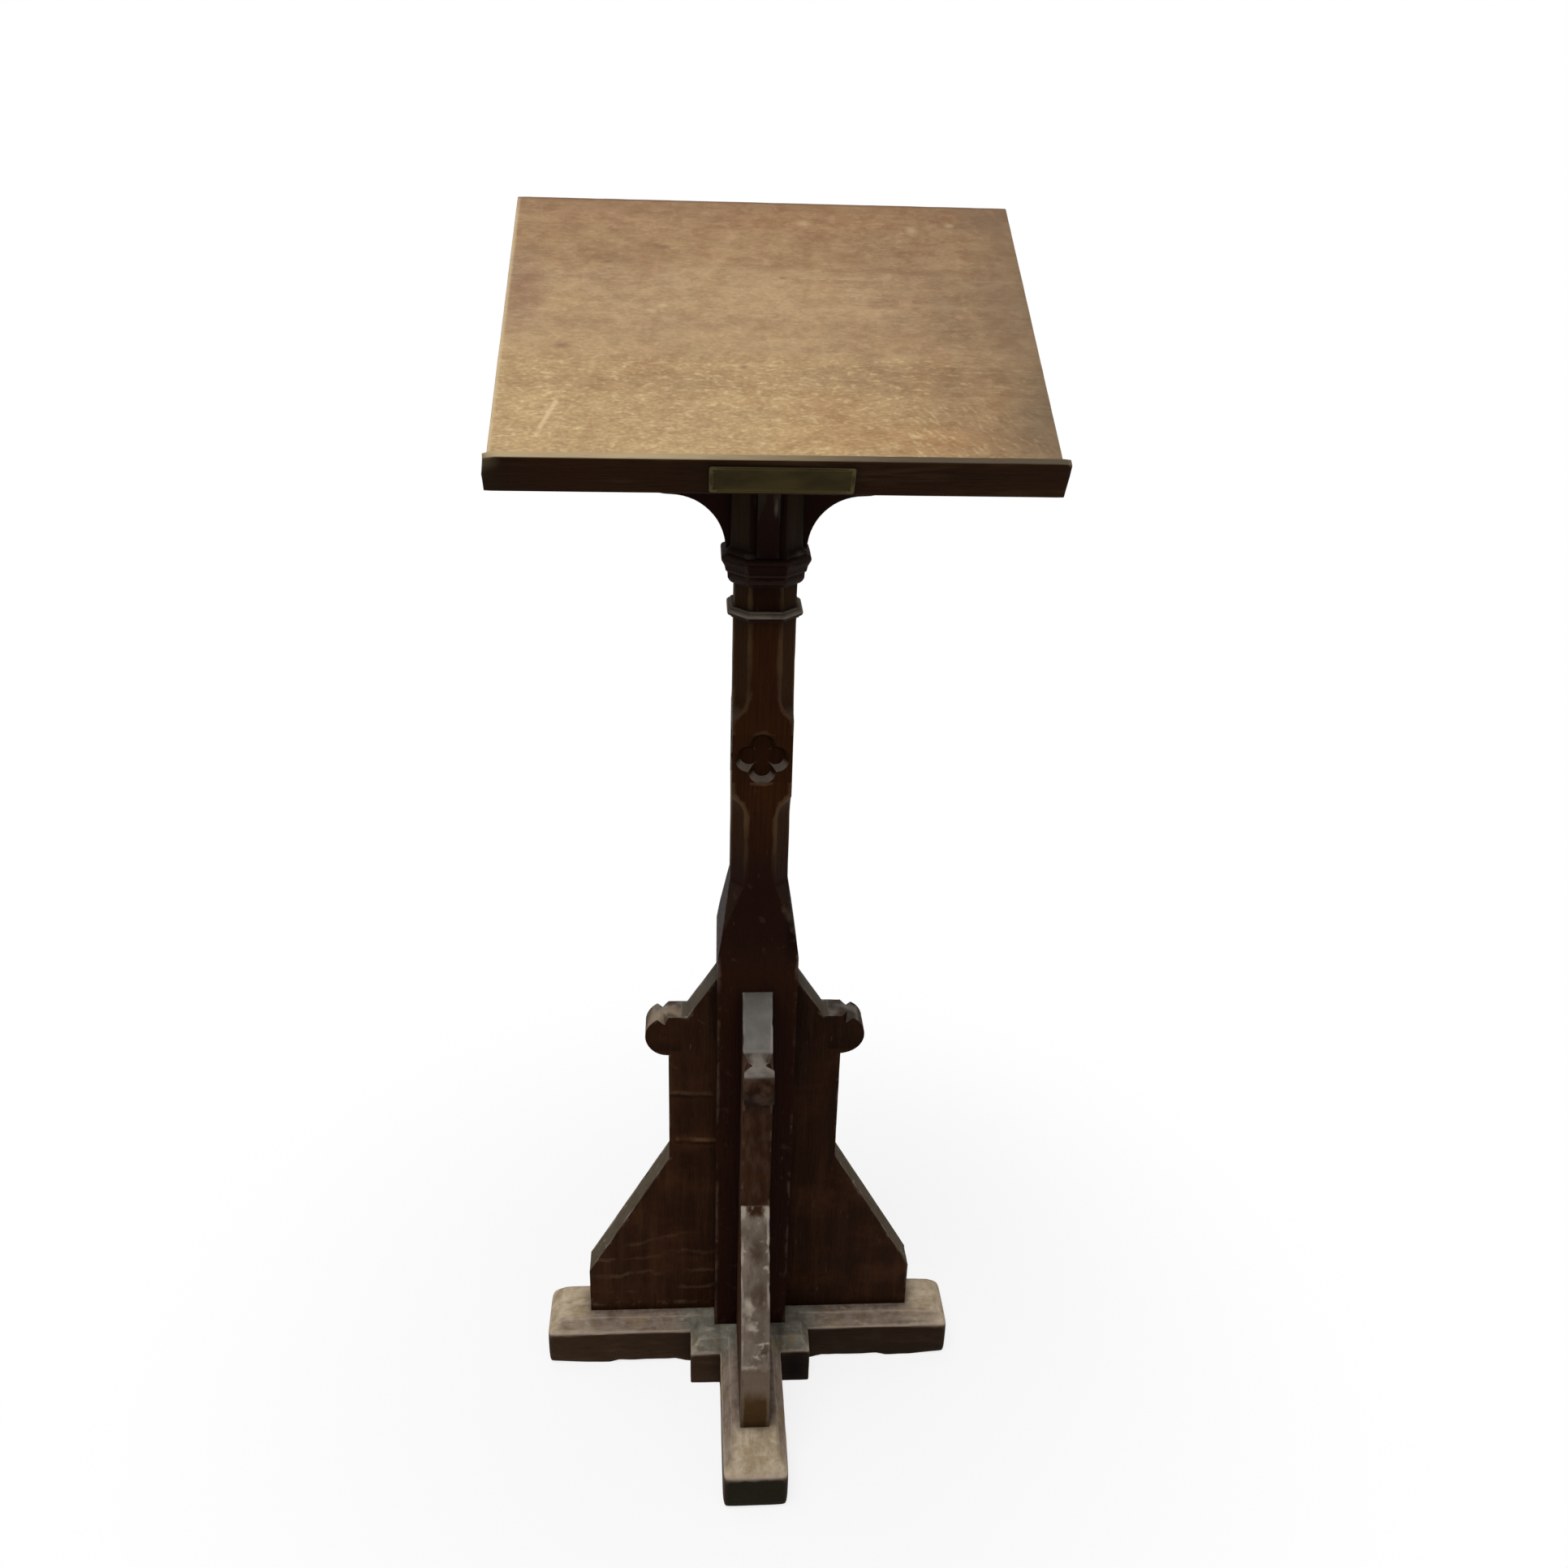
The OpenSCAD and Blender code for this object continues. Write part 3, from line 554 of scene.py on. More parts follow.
def paint_sides(oak, x, z):
    """Broad tones with some painted shade, cracks, scratches and ripples on the upright sides."""
    # Painted shade on the right buttress
    oak.shade(x.rise(*SHADED_RIGHT_BUTTRESS) * 0.30)
    oak.paint(oak.clouds(oak.place, (16, 16, 24), 4, 0.6).rise(0.45, 0.75) * 0.45, rgb(84, 50, 28))
    calm = 1 - 0.6 * x.rise(*CALM_RIGHT)
    oak.paint(oak.speckle((7, 110, 110), 0.52, 0.74, 3) * calm * 0.20, rgb(92, 62, 40))
    oak.shade(oak.speckle((9, 70, 70), 0.50, 0.70, 3) * calm * 0.18)
    shaken = oak.ragged(oak.place, 90, 3, 4 * MM)
    for start, end, width, tint in CRACKS:
        # A crack: a painted shadow just below it, and a painted highlight on its lip
        crack_shadow = [(across, up - LIP) for across, up in (start, end)]
        oak.shade(side_stroke(oak, shaken, *crack_shadow, width) * 0.6)
        oak.paint(side_stroke(oak, shaken, start, end, width) * oak.speckle(60, 0.20, 0.60, 3) * 0.75, tint)
    for start, end, width in SCRATCHES:
        oak.paint(side_stroke(oak, shaken, start, end, width) * 0.7, rgb(104, 82, 68))
    sway = 0.045 * oak.clouds(oak.place, (16, 16, 12), 4, 0.6)
    ridges = (z - 0.10 * x + sway).wave(RIPPLE).rise(0.60, 1.00)
    patches = oak.clouds(oak.place, (22, 22, 60), 3).rise(0.44, 0.64) * z.fall(*RIPPLES_STOP)
    left_arm = x.fall(*LEFT_ARM)
    oak.paint(ridges * patches * left_arm * 0.38, rgb(106, 82, 60))
    scuff = (z - SCUFF_HEIGHT).size().fall(1 * MM, 5 * MM) * oak.speckle((60, 60, 30), 0.45, 0.62, 3)
    oak.paint(scuff * left_arm * 0.45, rgb(116, 94, 68))
    oak.shade(z.rise(*DIM_TOP) * 0.22)
    oak.paint(oak.speckle((50, 260, 260), 0.70, 0.80) * 0.4, rgb(104, 80, 64))


def mark_low_slope(oak, slopes, low):
    """Stains, a bare patch and pale chips."""
    shaken = oak.ragged(oak.place, 150, 4, RAGGED * MM)
    oak.paint(oak.speckle((30, 110, 110), 0.50, 0.68, 3) * low * 0.5, rgb(84, 68, 56))
    for stain in STAINS:
        oak.paint(slope_pool(oak, shaken, *stain) * low * 0.8, rgb(70, 51, 38))
    oak.paint(slope_pool(oak, shaken, *BARE_TOP).rise(0.05, 0.5) * low, rgb(58, 36, 22))
    for chip in CHIPS:
        chipped = slope_pool(oak, shaken, *chip).rise(0.0, 0.8) * oak.speckle(60, 0.25, 0.60, 4)
        oak.paint(chipped * slopes * 0.8, rgb(184, 172, 154))
    oak.paint(oak.speckle((110, 170, 170), 0.62, 0.74, 3) * low * 0.45, rgb(166, 152, 134))


def paint_toe(oak, toe, x, z):
    """The front buttress's low upright face, where shoes knock."""
    oak.paint(toe * 0.8, rgb(80, 58, 32))
    height = z + 20 * MM * (oak.clouds(oak.place, 90, 4) - 0.5)
    oak.paint(toe * height.rise(*TOE_SCUFFED) * 0.9, rgb(116, 100, 86), 0.2)
    margins = (x.size() + 4 * MM * (oak.clouds(oak.place, 120, 3) - 0.5)).rise(*TOE_MARGINS)
    oak.paint(toe * margins * 0.7, rgb(112, 96, 80), 0.2)


def buttress_finish():
    oak = Oak("buttress_oak", rgb(38, 19, 9), rgb(56, 31, 16), rgb(64, 39, 23), 0.3)
    x, y, z = oak.parts(oak.place)
    paint_sides(oak, x, z)
    reach = x.size().at_least(y.size())
    across = x.size().at_most(y.size())
    sideways = x.size().rise(*LEFT_AND_RIGHT)
    lobe = reach.rise(LOBE_FROM, LOBE_FROM + 4 * MM) * z.rise(LOBE_LOW, LOBE_LOW + MM)
    lobe = lobe * z.fall(LOBE_HIGH, LOBE_HIGH + MM)
    round_face = lobe * oak.up.fall(0.60, 0.82)
    front = y.fall(*FRONT_ONE)
    dusted = oak.speckle((45, 130, 130), 0.42, 0.70, 4)
    oak.paint(dusted * front * (1 - lobe) * 0.40, rgb(86, 66, 52))
    slopes = oak.up.rise(0.24, 0.46) * (1 - round_face)
    patchy = oak.speckle((30, 45, 45), 0.30, 0.70, 3)
    upper = oak.between(patchy, rgb(118, 113, 107), rgb(138, 133, 127))
    lower = oak.between(patchy, rgb(98, 85, 73), rgb(128, 115, 103))
    dusty = oak.between(z.rise(*SLOPE_BREAK), lower, upper)
    dusty = oak.between(sideways * (1 - lobe) * 0.75, dusty, rgb(84, 74, 58))
    oak.paint(slopes, dusty, 0.3)
    mark_low_slope(oak, slopes, slopes * z.fall(*SLOPE_BREAK))
    mottled = oak.between(oak.speckle(70, 0.35, 0.65, 4), rgb(36, 20, 12), rgb(78, 58, 46))
    oak.paint(round_face * (1 - sideways) * 0.85, mottled)
    hands = oak.between(oak.speckle(45, 0.34, 0.66, 4), rgb(72, 62, 54), rgb(134, 126, 117))
    oak.paint(lobe * slopes * oak.up.rise(0.60, 0.85), hands)
    left_lobe = lobe * x.fall(*LEFT_LOBE) * oak.up.rise(0.10, 0.60)
    oak.paint(left_lobe * oak.speckle(40, 0.30, 0.60, 3) * 0.6, rgb(172, 150, 124))
    from_neck = (reach - NECK_OF_LOBE).size()
    waisted = (across - 2 * MM - 0.7 * from_neck).rise(0, 8 * MM) * from_neck.fall(6 * MM, 14 * MM)
    oak.paint(waisted * lobe * slopes * 0.75, rgb(74, 56, 44))
    # Painted shade on the lower part of each lobe's round face, and painted shadow on the front stem under
    # its lobe
    shadow_under_lobe = z.rise(LOBE_LOW - 30 * MM, LOBE_LOW) * z.fall(LOBE_LOW, LOBE_LOW + MM)
    oak.shade(round_face * z.fall(LOBE_LOW, LOBE_LOW + 24 * MM) * 0.45)
    oak.shade(shadow_under_lobe * front * 0.6)
    rub = oak.arrises()
    rubbed = rub * slopes * reach.fall(*STRAIGHT_FROM) * (1 - 0.8 * lobe)
    oak.paint(rubbed * oak.speckle((40, 30, 30), 0.42, 0.60) * 0.6, rgb(172, 163, 152))
    upright = (1 - slopes) * (1 - lobe)
    oak.paint(rub * upright * oak.speckle((50, 14, 14), 0.50, 0.64) * 0.5, rgb(112, 90, 76))
    paint_toe(oak, y.fall(*TOE_FACE) * (1 - slopes) * (1 - sideways), x, z)
    return oak.done(nook_shade_and_dirt=0.5)


keep(buttress_finish())

# %% [markdown]
# The post is dark and reddish below and a warmer brown up the shaft, whose chamfers are olive.
# Its square arrises show as broken pale lines, and dust lies on the small faces that look up: the
# chamfer stops and the lower walls of the quatrefoils. Painted shade darkens the flare, most on its
# right side, and the sunk quatrefoils, most on their upper walls. A material for each stretch would
# be simpler, but the grain would break where they meet.

# %% The post's finish
FLARE = mm(545, 590)
SHAFT = mm(640, 730)
NECK = mm(925, 928)
SHADED_FLARE_SIDE = mm(24, 32)
FOILS_MIDDLE = 785 * MM
FOILS_REACH = mm(24, 26)
FOILS_DEPTH = mm(23, 28.5)


def post_finish():
    oak = Oak("post_oak", rgb(33, 13, 6), rgb(44, 20, 9), rgb(50, 25, 12), 0.3)
    x, y, z = oak.parts(oak.place)
    shaft = z.rise(*SHAFT)
    below = 1 - shaft
    oak.paint(shaft * 0.8, oak.between(oak.fibres, rgb(48, 22, 6), rgb(64, 35, 11)))
    flare = z.rise(*FLARE) * below
    oak.paint(flare * 0.5, rgb(36, 19, 13))
    # Painted shade on the flare, most on its right side
    oak.shade(flare * (0.2 + 0.45 * x.rise(*SHADED_FLARE_SIDE)))
    oak.shade(oak.clouds(oak.place, (20, 20, 9), 4, 0.6).rise(0.45, 0.75) * shaft * 0.35)
    oak.paint(oak.clouds(oak.place, (26, 26, 14), 4, 0.6).rise(0.48, 0.70) * shaft * 0.5, rgb(58, 26, 15))
    oak.paint(oak.speckle(70, 0.62, 0.74, 3) * below * 0.3, rgb(76, 58, 50))
    oak.shade(z.rise(*NECK) * 0.55)
    oak.paint(oak.speckle((50, 260, 260), 0.70, 0.80) * 0.35, rgb(100, 78, 62))
    near_foils = (z - FOILS_MIDDLE).size().fall(*FOILS_REACH)
    oak.paint(oak.chamfers() * shaft * 0.7, rgb(46, 27, 5))
    oak.shade(near_foils * 0.12)
    rub = oak.arrises(0.42, 0.75) * (1 - near_foils)
    uneven = oak.clouds(oak.grain, (17, 8, 8), 6, 0.68).rise(0.46, 0.60)
    oak.paint(rub * uneven * below * 0.42, rgb(112, 90, 74))
    oak.paint(rub * shaft * oak.speckle((25, 10, 10), 0.25, 0.60) * 0.5, rgb(108, 84, 58))
    dusty_stops = oak.up.rise(0.25, 0.70) * (1 - near_foils) * (0.5 + 0.35 * shaft)
    oak.paint(dusty_stops, rgb(96, 80, 68), 0.2)
    # Painted shade in the sunk quatrefoils: a little on their floors, much on their upper walls, which look
    # down
    sunk = near_foils * x.size().at_least(y.size()).fall(*FOILS_DEPTH)
    oak.shade(sunk * 0.25)
    oak.shade(oak.up.fall(-0.6, -0.1) * sunk * 0.8)
    oak.paint(oak.up.rise(0.15, 0.55) * near_foils * 0.8, rgb(130, 118, 106), 0.2)
    return oak.done(nook_shade_and_dirt=0.5)


keep(post_finish())

# %% [markdown]
# The mouldings are nearly black, and are read by the thin lines of dust and wear on their edges.
# The necking ring is the palest, rubbed and with a painted highlight along its upper half, and the
# head's slanting faces are olive. Dust and painted highlights streak the front bracket's chamfers
# and spot the capital's rim. The ledge is as dark, with painted shade at its left end, but books
# and elbows have worn its top edge to a greyish line, which a painted highlight makes paler on the
# left, and its left corner is knocked.

# %% The mouldings and the ledge
RING_LOW = mm(925, 927)
RING_HIGH = mm(934, 935)
CAPITAL_TOP = mm(985, 995)
HEAD_FROM = mm(990, 994)
# Dust and painted highlight on the neck's front bracket and on the capital's rim: the middle of each streak,
# and how far it reaches
DUST_AND_HIGHLIGHT_MARKS = (
    (mm(6, -44, 1033), mm(3, 20, 12)),
    (mm(-12, -45, 1036), mm(2, 20, 9)),
    (mm(30, -25, 986), mm(9, 9, 4)),
    (mm(-16, -34, 986), mm(8, 8, 3)),
)


def moulding_finish():
    oak = Oak("moulding_oak", rgb(22, 8, 5), rgb(31, 13, 8), rgb(37, 17, 11), 0.3)
    z = oak.parts(oak.place)[2]
    oak.paint(oak.up.rise(0.25, 0.75) * 0.5, rgb(58, 45, 38), 0.2)
    oak.paint(oak.arrises(0.50, 0.75) * z.fall(*CAPITAL_TOP) * 0.25, rgb(84, 64, 52))
    ring = z.rise(*RING_LOW) * z.fall(*RING_HIGH)
    # A painted highlight along the ring's upper half, over some wear
    oak.paint(ring * oak.speckle((30, 30, 90), 0.10, 0.50, 3) * oak.up.rise(-0.3, 0.3), rgb(160, 146, 130))
    oak.paint(oak.chamfers() * z.rise(*HEAD_FROM) * 0.6, rgb(40, 29, 14))
    # Pale streaks and spots of dust and painted highlight
    for mark, reach in DUST_AND_HIGHLIGHT_MARKS:
        oak.paint(oak.pool(oak.place, mark, reach) * 0.6, rgb(104, 96, 84))
    return oak.done(nook_shade_and_dirt=0.5)


LEDGE_LOW, LEDGE_HIGH = [Vector(corner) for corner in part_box("book_ledge")]
CHIPPED_CORNER = (LEDGE_LOW.x, LEDGE_LOW.y, LEDGE_HIGH.z - 6 * MM)
CHIP_REACH = mm(18, 13, 15)
LEDGE_GLOW = (-165 * MM, LEDGE_LOW.y, LEDGE_HIGH.z - 20 * MM)
GLOW_REACH = mm(70, 30, 30)
SHADED_LEFT_END = mm(-220, -120)
WORN_AND_LIT_LEFT = mm(-140, 120)
LEFT_TIP = mm(-222, -200)


def ledge_finish():
    oak = Oak("ledge_oak", rgb(35, 19, 8), rgb(48, 28, 12), rgb(56, 34, 15), 0.3)
    x = oak.parts(oak.place)[0]
    oak.paint(oak.speckle((14, 120, 120), 0.56, 0.74, 3) * 0.45, rgb(74, 54, 34))
    # Painted shade on the ledge's left end
    oak.shade(x.fall(*SHADED_LEFT_END) * 0.25)
    # The top is worn to grey, and a painted highlight makes it paler towards the left
    left = x.fall(*WORN_AND_LIT_LEFT)
    worn = oak.between(left, rgb(94, 83, 68), rgb(188, 167, 131))
    oak.paint(oak.up.rise(0.35, 0.80), worn, 0.2)
    oak.paint(oak.arrises(0.40, 0.65) * oak.up.rise(-0.5, 0.2) * (0.3 + 0.5 * left), rgb(150, 134, 108))
    oak.paint(oak.pool(oak.place, CHIPPED_CORNER, CHIP_REACH) * 0.9, rgb(136, 118, 92))
    oak.paint(x.fall(*LEFT_TIP) * oak.up.fall(0.2, 0.5) * 0.5, rgb(40, 30, 16))
    oak.paint(oak.pool(oak.place, LEDGE_GLOW, GLOW_REACH) * 0.25, rgb(62, 30, 12))
    return oak.done(nook_shade_and_dirt=0.4)


keep(moulding_finish())
keep(ledge_finish())

# %% [markdown]
# The board is the one light piece, scrubbed by books for years. Its tone drifts: golden at the lower
# left, partly painted light and partly where the hands fell, pinkish in the middle plank, and brown
# at the top and duller to the right, partly painted shade. Short pale ray flecks cover the lower
# plank. They run with the grain on the left and fan out diagonally at the lower right, where the cut
# crossed a knot's swirl. A single noise would give flecks that all lie alike, so a second one is
# turned, and takes over inside the fan. The spots and tints are few enough to be placed one by one.

# %% The board's finish
BOARD_SLOPE = math.radians(27.2)
BOARD_MIDDLE = Vector((0, 0, 1183 * MM))
UP_THE_BOARD = Vector((0, math.cos(BOARD_SLOPE), math.sin(BOARD_SLOPE)))
FAN_ANGLE = math.radians(52)
LOWER_PLANK = mm(-62, -40)
UPPER_PLANK = mm(55, 95)
DULL_RIGHT = (0, 170 * MM)
FEW_FLECKS = mm(100, 200)
LEFT_EDGE = mm(-224, -220.5)
RIGHT_MARGIN = mm(165, 226)
TOP_MARGIN = mm(130, 176)
TOP_EDGE = mm(171.5, 175)
# Marks on the board in millimetres: across, up the board, reach across and up it
FAN = (160, -150, 100, 70)
PALE_SPOTS = (
    (-92, -59, 8, 4), (-90, -78, 9, 3), (-148, -61, 6, 5), (-100, 9, 6, 5), (-91, 18, 6, 4),
    (34, 144, 12, 7), (132, 136, 8, 10), (-206, -146, 7, 3), (70, -168, 9, 3), (168, 146, 7, 5),
)
DARK_SPOTS = ((-174, -39, 13, 6), (-24, -63, 6, 4), (-140, 79, 10, 3), (-94, 103, 14, 5), (12, 60, 6, 3))
TINTS = (
    (-212, 40, 34, 90, rgb(134, 106, 88), 0.8), (42, -112, 60, 34, rgb(172, 130, 90), 0.5),
    (40, 152, 150, 42, rgb(140, 100, 68), 0.8), (200, 160, 90, 44, rgb(108, 84, 66), 0.8),
    (-150, 150, 110, 34, rgb(158, 120, 88), 0.6), (180, 10, 90, 110, rgb(112, 90, 68), 0.7),
    (220, -120, 44, 100, rgb(102, 88, 72), 0.8), (-40, 40, 110, 60, rgb(184, 154, 116), 0.4),
    (120, 100, 110, 50, rgb(128, 100, 76), 0.5), (-212, 168, 30, 20, rgb(140, 106, 80), 0.6),
    (70, -148, 110, 44, rgb(190, 146, 92), 0.4), (128, -150, 70, 26, rgb(186, 138, 90), 0.45),
)
LONG_SCRATCH = ((-187, -146), (-175, -110))
SCRATCH_WIDTH = 2.8


def board_place(across, up):
    """A place on the board's face, in millimetres from its middle."""
    return tuple(BOARD_MIDDLE + Vector((across * MM, 0, 0)) + UP_THE_BOARD * up * MM)


def board_pool(oak, across, up, wide, tall):
    return oak.pool(oak.place, board_place(across, up), (wide * MM, tall * MM, tall * MM))


def board_tone(oak, x, up):
    """0 where the board is dull brown, 1 where it is golden, partly from painted light at the lower left."""
    drift = oak.clouds(oak.place, (14, 9, 9), 4, 0.6) - 0.5
    bands = oak.clouds(oak.grain, (3, 36, 36), 3, 0.6) - 0.5
    fine = oak.clouds(oak.place, (70, 60, 60), 4, 0.6) - 0.5
    fade = 1 - 0.75 * x.rise(*DULL_RIGHT)
    return ((0.58 - 2.5 * up) * fade + drift + bands + 0.35 * fine).at_least(0).at_most(1)


def paint_flecks(oak, x, lower, tone):
    """Short pale ray flecks: with the grain on the left, fanned out at the lower right."""
    turned = oak.node("VectorRotate", {}, {"Vector": oak.grain, "Axis": (0, 0, 1), "Angle": FAN_ANGLE})
    swirl = oak.ragged(oak.grain, (50, 90, 90), 2, 9 * MM)
    fan = board_pool(oak, *FAN).at_most(0.5) * 2
    straight = oak.clouds(swirl, (120, 330, 330), 1).rise(0.52, 0.72)
    fanned = oak.clouds(turned, (100, 270, 270), 1).rise(0.54, 0.72)
    flecks = (straight * (1 - fan) + fanned * fan) * (1 - 0.5 * x.rise(*FEW_FLECKS))
    oak.paint(flecks * (0.14 + 0.62 * lower * (0.35 + 0.65 * tone) + 0.10 * fan), rgb(222, 196, 148))
    grains = oak.clouds(oak.grain, (260, 420, 420), 2).rise(0.35, 0.75)
    oak.paint((1 - grains) * (0.28 + 0.12 * lower), rgb(118, 89, 60))
    mottle = oak.clouds(swirl, (52, 84, 84), 4, 0.65).rise(0.30, 0.70)
    oak.paint((1 - mottle) * 0.26, rgb(122, 91, 62))
    oak.paint(mottle * 0.17, rgb(210, 182, 138))
    peach = oak.clouds(oak.place, (75, 60, 60), 3, 0.6).rise(0.54, 0.70)
    oak.paint(peach * (1 - lower) * 0.22, rgb(196, 156, 122))
    stains = oak.clouds(oak.place, (26, 20, 20), 5, 0.7)
    oak.paint(stains.rise(0.50, 0.72) * 0.34, rgb(140, 98, 62))


def board_finish():
    oak = Oak("board_oak", rgb(150, 122, 92), rgb(164, 136, 104), rgb(170, 140, 106), 0.08)
    x = oak.parts(oak.place)[0]
    up = oak.along(oak.moved(oak.place, tuple(-BOARD_MIDDLE)), tuple(UP_THE_BOARD))
    tone = board_tone(oak, x, up)
    oak.paint(0.94, oak.between(tone, rgb(132, 104, 77), rgb(202, 171, 123)))
    lower, upper = up.fall(*LOWER_PLANK), up.rise(*UPPER_PLANK)
    oak.paint((1 - lower) * (1 - upper) * 0.30, rgb(170, 140, 112))
    oak.paint(upper * 0.52, rgb(142, 107, 75))
    for *spot, tint, thickness in TINTS:
        oak.paint(board_pool(oak, *spot) * thickness, tint)
    paint_flecks(oak, x, lower, tone)
    for mark in PALE_SPOTS:
        oak.paint(board_pool(oak, *mark) * 0.35, rgb(212, 188, 150))
    for mark in DARK_SPOTS:
        oak.paint(board_pool(oak, *mark) * 0.7, rgb(122, 92, 68))
    scratch = oak.stroke(oak.place, *[board_place(*end) for end in LONG_SCRATCH], SCRATCH_WIDTH * MM)
    oak.paint(scratch * oak.speckle(120, 0.25, 0.55, 3) * 0.5, rgb(220, 194, 156))
    # A pale left edge: wear and a painted highlight
    oak.paint(x.fall(*LEFT_EDGE) * 0.7, rgb(204, 180, 142))
    # Darker towards the right and the top: partly painted shade
    oak.paint(x.rise(*RIGHT_MARGIN) * 0.5, rgb(108, 90, 70))
    oak.paint(up.rise(*TOP_MARGIN) * 0.3, rgb(120, 90, 64))
    oak.paint(up.rise(*TOP_EDGE) * 0.7, rgb(104, 78, 58))
    oak.paint(oak.side.rise(0.5, 0.8) * 0.7, rgb(112, 88, 64))
    rough_sawn = oak.between(oak.fibres, rgb(74, 54, 36), rgb(104, 79, 54))
    oak.paint(oak.up.fall(-0.70, -0.50), rough_sawn, 0.2)
    return oak.done(shine=0.10, depth=0.2 * MM)


keep(board_finish())

# %% [markdown]
# The brass plate went olive brown long ago, and its colour is darkened further by painted shade. It
# is bare here, with the plain engraved border that such plates have. Hidden pegs and wedges are
# fresh oak, and the screws are steel.

# %% Metals and pegs
PLATE_LOW, PLATE_HIGH = [Vector(corner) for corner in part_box("name_plate")]
FACE_UP = Vector((0, -math.sin(BOARD_SLOPE), math.cos(BOARD_SLOPE)))
PLATE_HALF_WIDTH = 57 * MM
PLATE_HALF_HEIGHT = 13 * MM
BORDER_INSET = 2.6 * MM
BORDER_WIDTH = 0.5 * MM


def engraved_border(finish, place):
    """1 on a thin line just inside the plate's edges."""
    apart = finish.moved(place, tuple(-(PLATE_LOW + PLATE_HIGH) / 2))
    across = PLATE_HALF_WIDTH - finish.parts(apart)[0].size()
    high = PLATE_HALF_HEIGHT - finish.along(apart, tuple(FACE_UP)).size()
    return (across.at_most(high) - BORDER_INSET).size().fall(0.4 * BORDER_WIDTH, BORDER_WIDTH)


def brass_finish():
    finish = Finish("old_brass")
    place = finish.node("TexCoord").other("Object")
    stain = finish.clouds(place, (26, 60, 60), 4).rise(0.30, 0.70)
    # Tarnished brass, darkened further by painted shade
    body = finish.between(stain, rgb(56, 47, 25), rgb(42, 36, 20))
    body = finish.between(finish.attribute("wear", "Fac").rise(0.65, 0.95) * 0.5, body, rgb(92, 84, 56))
    body = finish.between(engraved_border(finish, place) * 0.35, body, rgb(84, 76, 48))
    finish.set(Base_Color=body, Metallic=1.0, Roughness=0.42 + 0.15 * stain)
    return finish


def peg_finish():
    oak = Oak("peg_oak", rgb(110, 84, 58), rgb(140, 110, 80), rgb(158, 128, 94))
    return oak.done()


def steel_finish():
    finish = Finish("screw_steel")
    stain = finish.clouds(finish.node("TexCoord").other("Object"), 90, 4).rise(0.35, 0.65)
    body = finish.between(stain, rgb(120, 116, 110), rgb(70, 60, 52))
    finish.set(Base_Color=body, Metallic=1.0, Roughness=0.4 + 0.2 * stain)
    return finish


keep(brass_finish())
keep(peg_finish())
keep(steel_finish())

# %% [markdown]
# A piece becomes worn in six steps. Its mesh is cleaned until each flat side is one face. The
# arrises that are free to be knocked are bevelled, and those that meet a neighbour stay sharp, so
# joints stay tight. The mesh is then sliced into small cells along its own directions, which gives
# it points to move. Each point learns how near it lies to a free arris and to a neighbour. The
# points then go inwards by a few tenths of a millimetre, further at the arrises, so nothing grows.
# Last, a few places that have taken more are softened or pushed in.

# %% Which nodes are worn
ALONG_X = Matrix.Identity(3)
ALONG_Y = Matrix(((0, 1, 0), (-1, 0, 0), (0, 0, 1)))
ALONG_Z = Matrix(((0, 0, 1), (1, 0, 0), (0, 1, 0)))
ON_BOARD = Matrix.Rotation(-BOARD_SLOPE, 3, "X")
UP_BOARD = ALONG_Y @ ON_BOARD
# For each node: its finish, the rows of its own directions, bevel, cell, arris wear and dents in mm,
# and how chipped it is
BLOCK = ("worn_foot_oak", ALONG_X, 2.0, 6, 1.0, 0.3)
BUTTRESS = ("buttress_oak", ALONG_Z, 1.6, 6, 1.1, 0.3, 6)
BRACKET = ("moulding_oak", ALONG_Z, 1.0, 7, 0.3, 0.15)
PLANK = ("board_oak", ON_BOARD, 1.2, 9, 0.4, 0.1)
BATTEN = ("moulding_oak", UP_BOARD, 1.5, 9, 0.4, 0.2)
WORN = {
    "foot_beam_across": ("worn_foot_oak", ALONG_X, 1.6, 5, 1.6, 0.35),
    "foot_beam_along": ("worn_foot_oak", ALONG_Y, 1.6, 5, 1.6, 0.35),
    **{f"corner_block_{y}_{x}": BLOCK for y in ("front", "back") for x in ("left", "right")},
    "post": ("post_oak", ALONG_Z, 1.0, 7, 0.5, 0.2),
    "buttress_left": BUTTRESS, "buttress_right": BUTTRESS,
    "buttress_front": ("buttress_oak", ALONG_Z, 1.6, 5, 1.3, 0.35, 5),
    "buttress_back": BUTTRESS,
    "necking_ring": ("moulding_oak", ALONG_X, 0.5, 5, 0.5, 0.15),
    "capital": ("moulding_oak", ALONG_X, 0.6, 5, 0.5, 0.2),
    "head_block": ("moulding_oak", ALONG_Z, 0.8, 7, 0.3, 0.15),
    "bracket_left": BRACKET, "bracket_right": BRACKET,
    "bracket_front": ("moulding_oak", ALONG_Z, 0.8, 7, 0.3, 0.15),
    "bracket_back": BRACKET,
    **{"board_plank_" + plank: PLANK for plank in ("lower", "middle", "upper")},
    **{"batten_" + side: BATTEN for side in ("left", "right")},
    "book_ledge": ("ledge_oak", ON_BOARD, 0.8, 6, 0.9, 0.2, 3),
    "name_plate": ("old_brass", ON_BOARD, 0.4, 6, 0.1, 0.1),
}


def surface_of(objects):
    """One search tree for the surfaces of several objects."""
    points, faces = [], []
    for thing in objects:
        start = len(points)
        points += [v.co.copy() for v in thing.data.vertices]
        faces += [[start + i for i in f.vertices] for f in thing.data.polygons]
    return BVHTree.FromPolygons(points, faces)


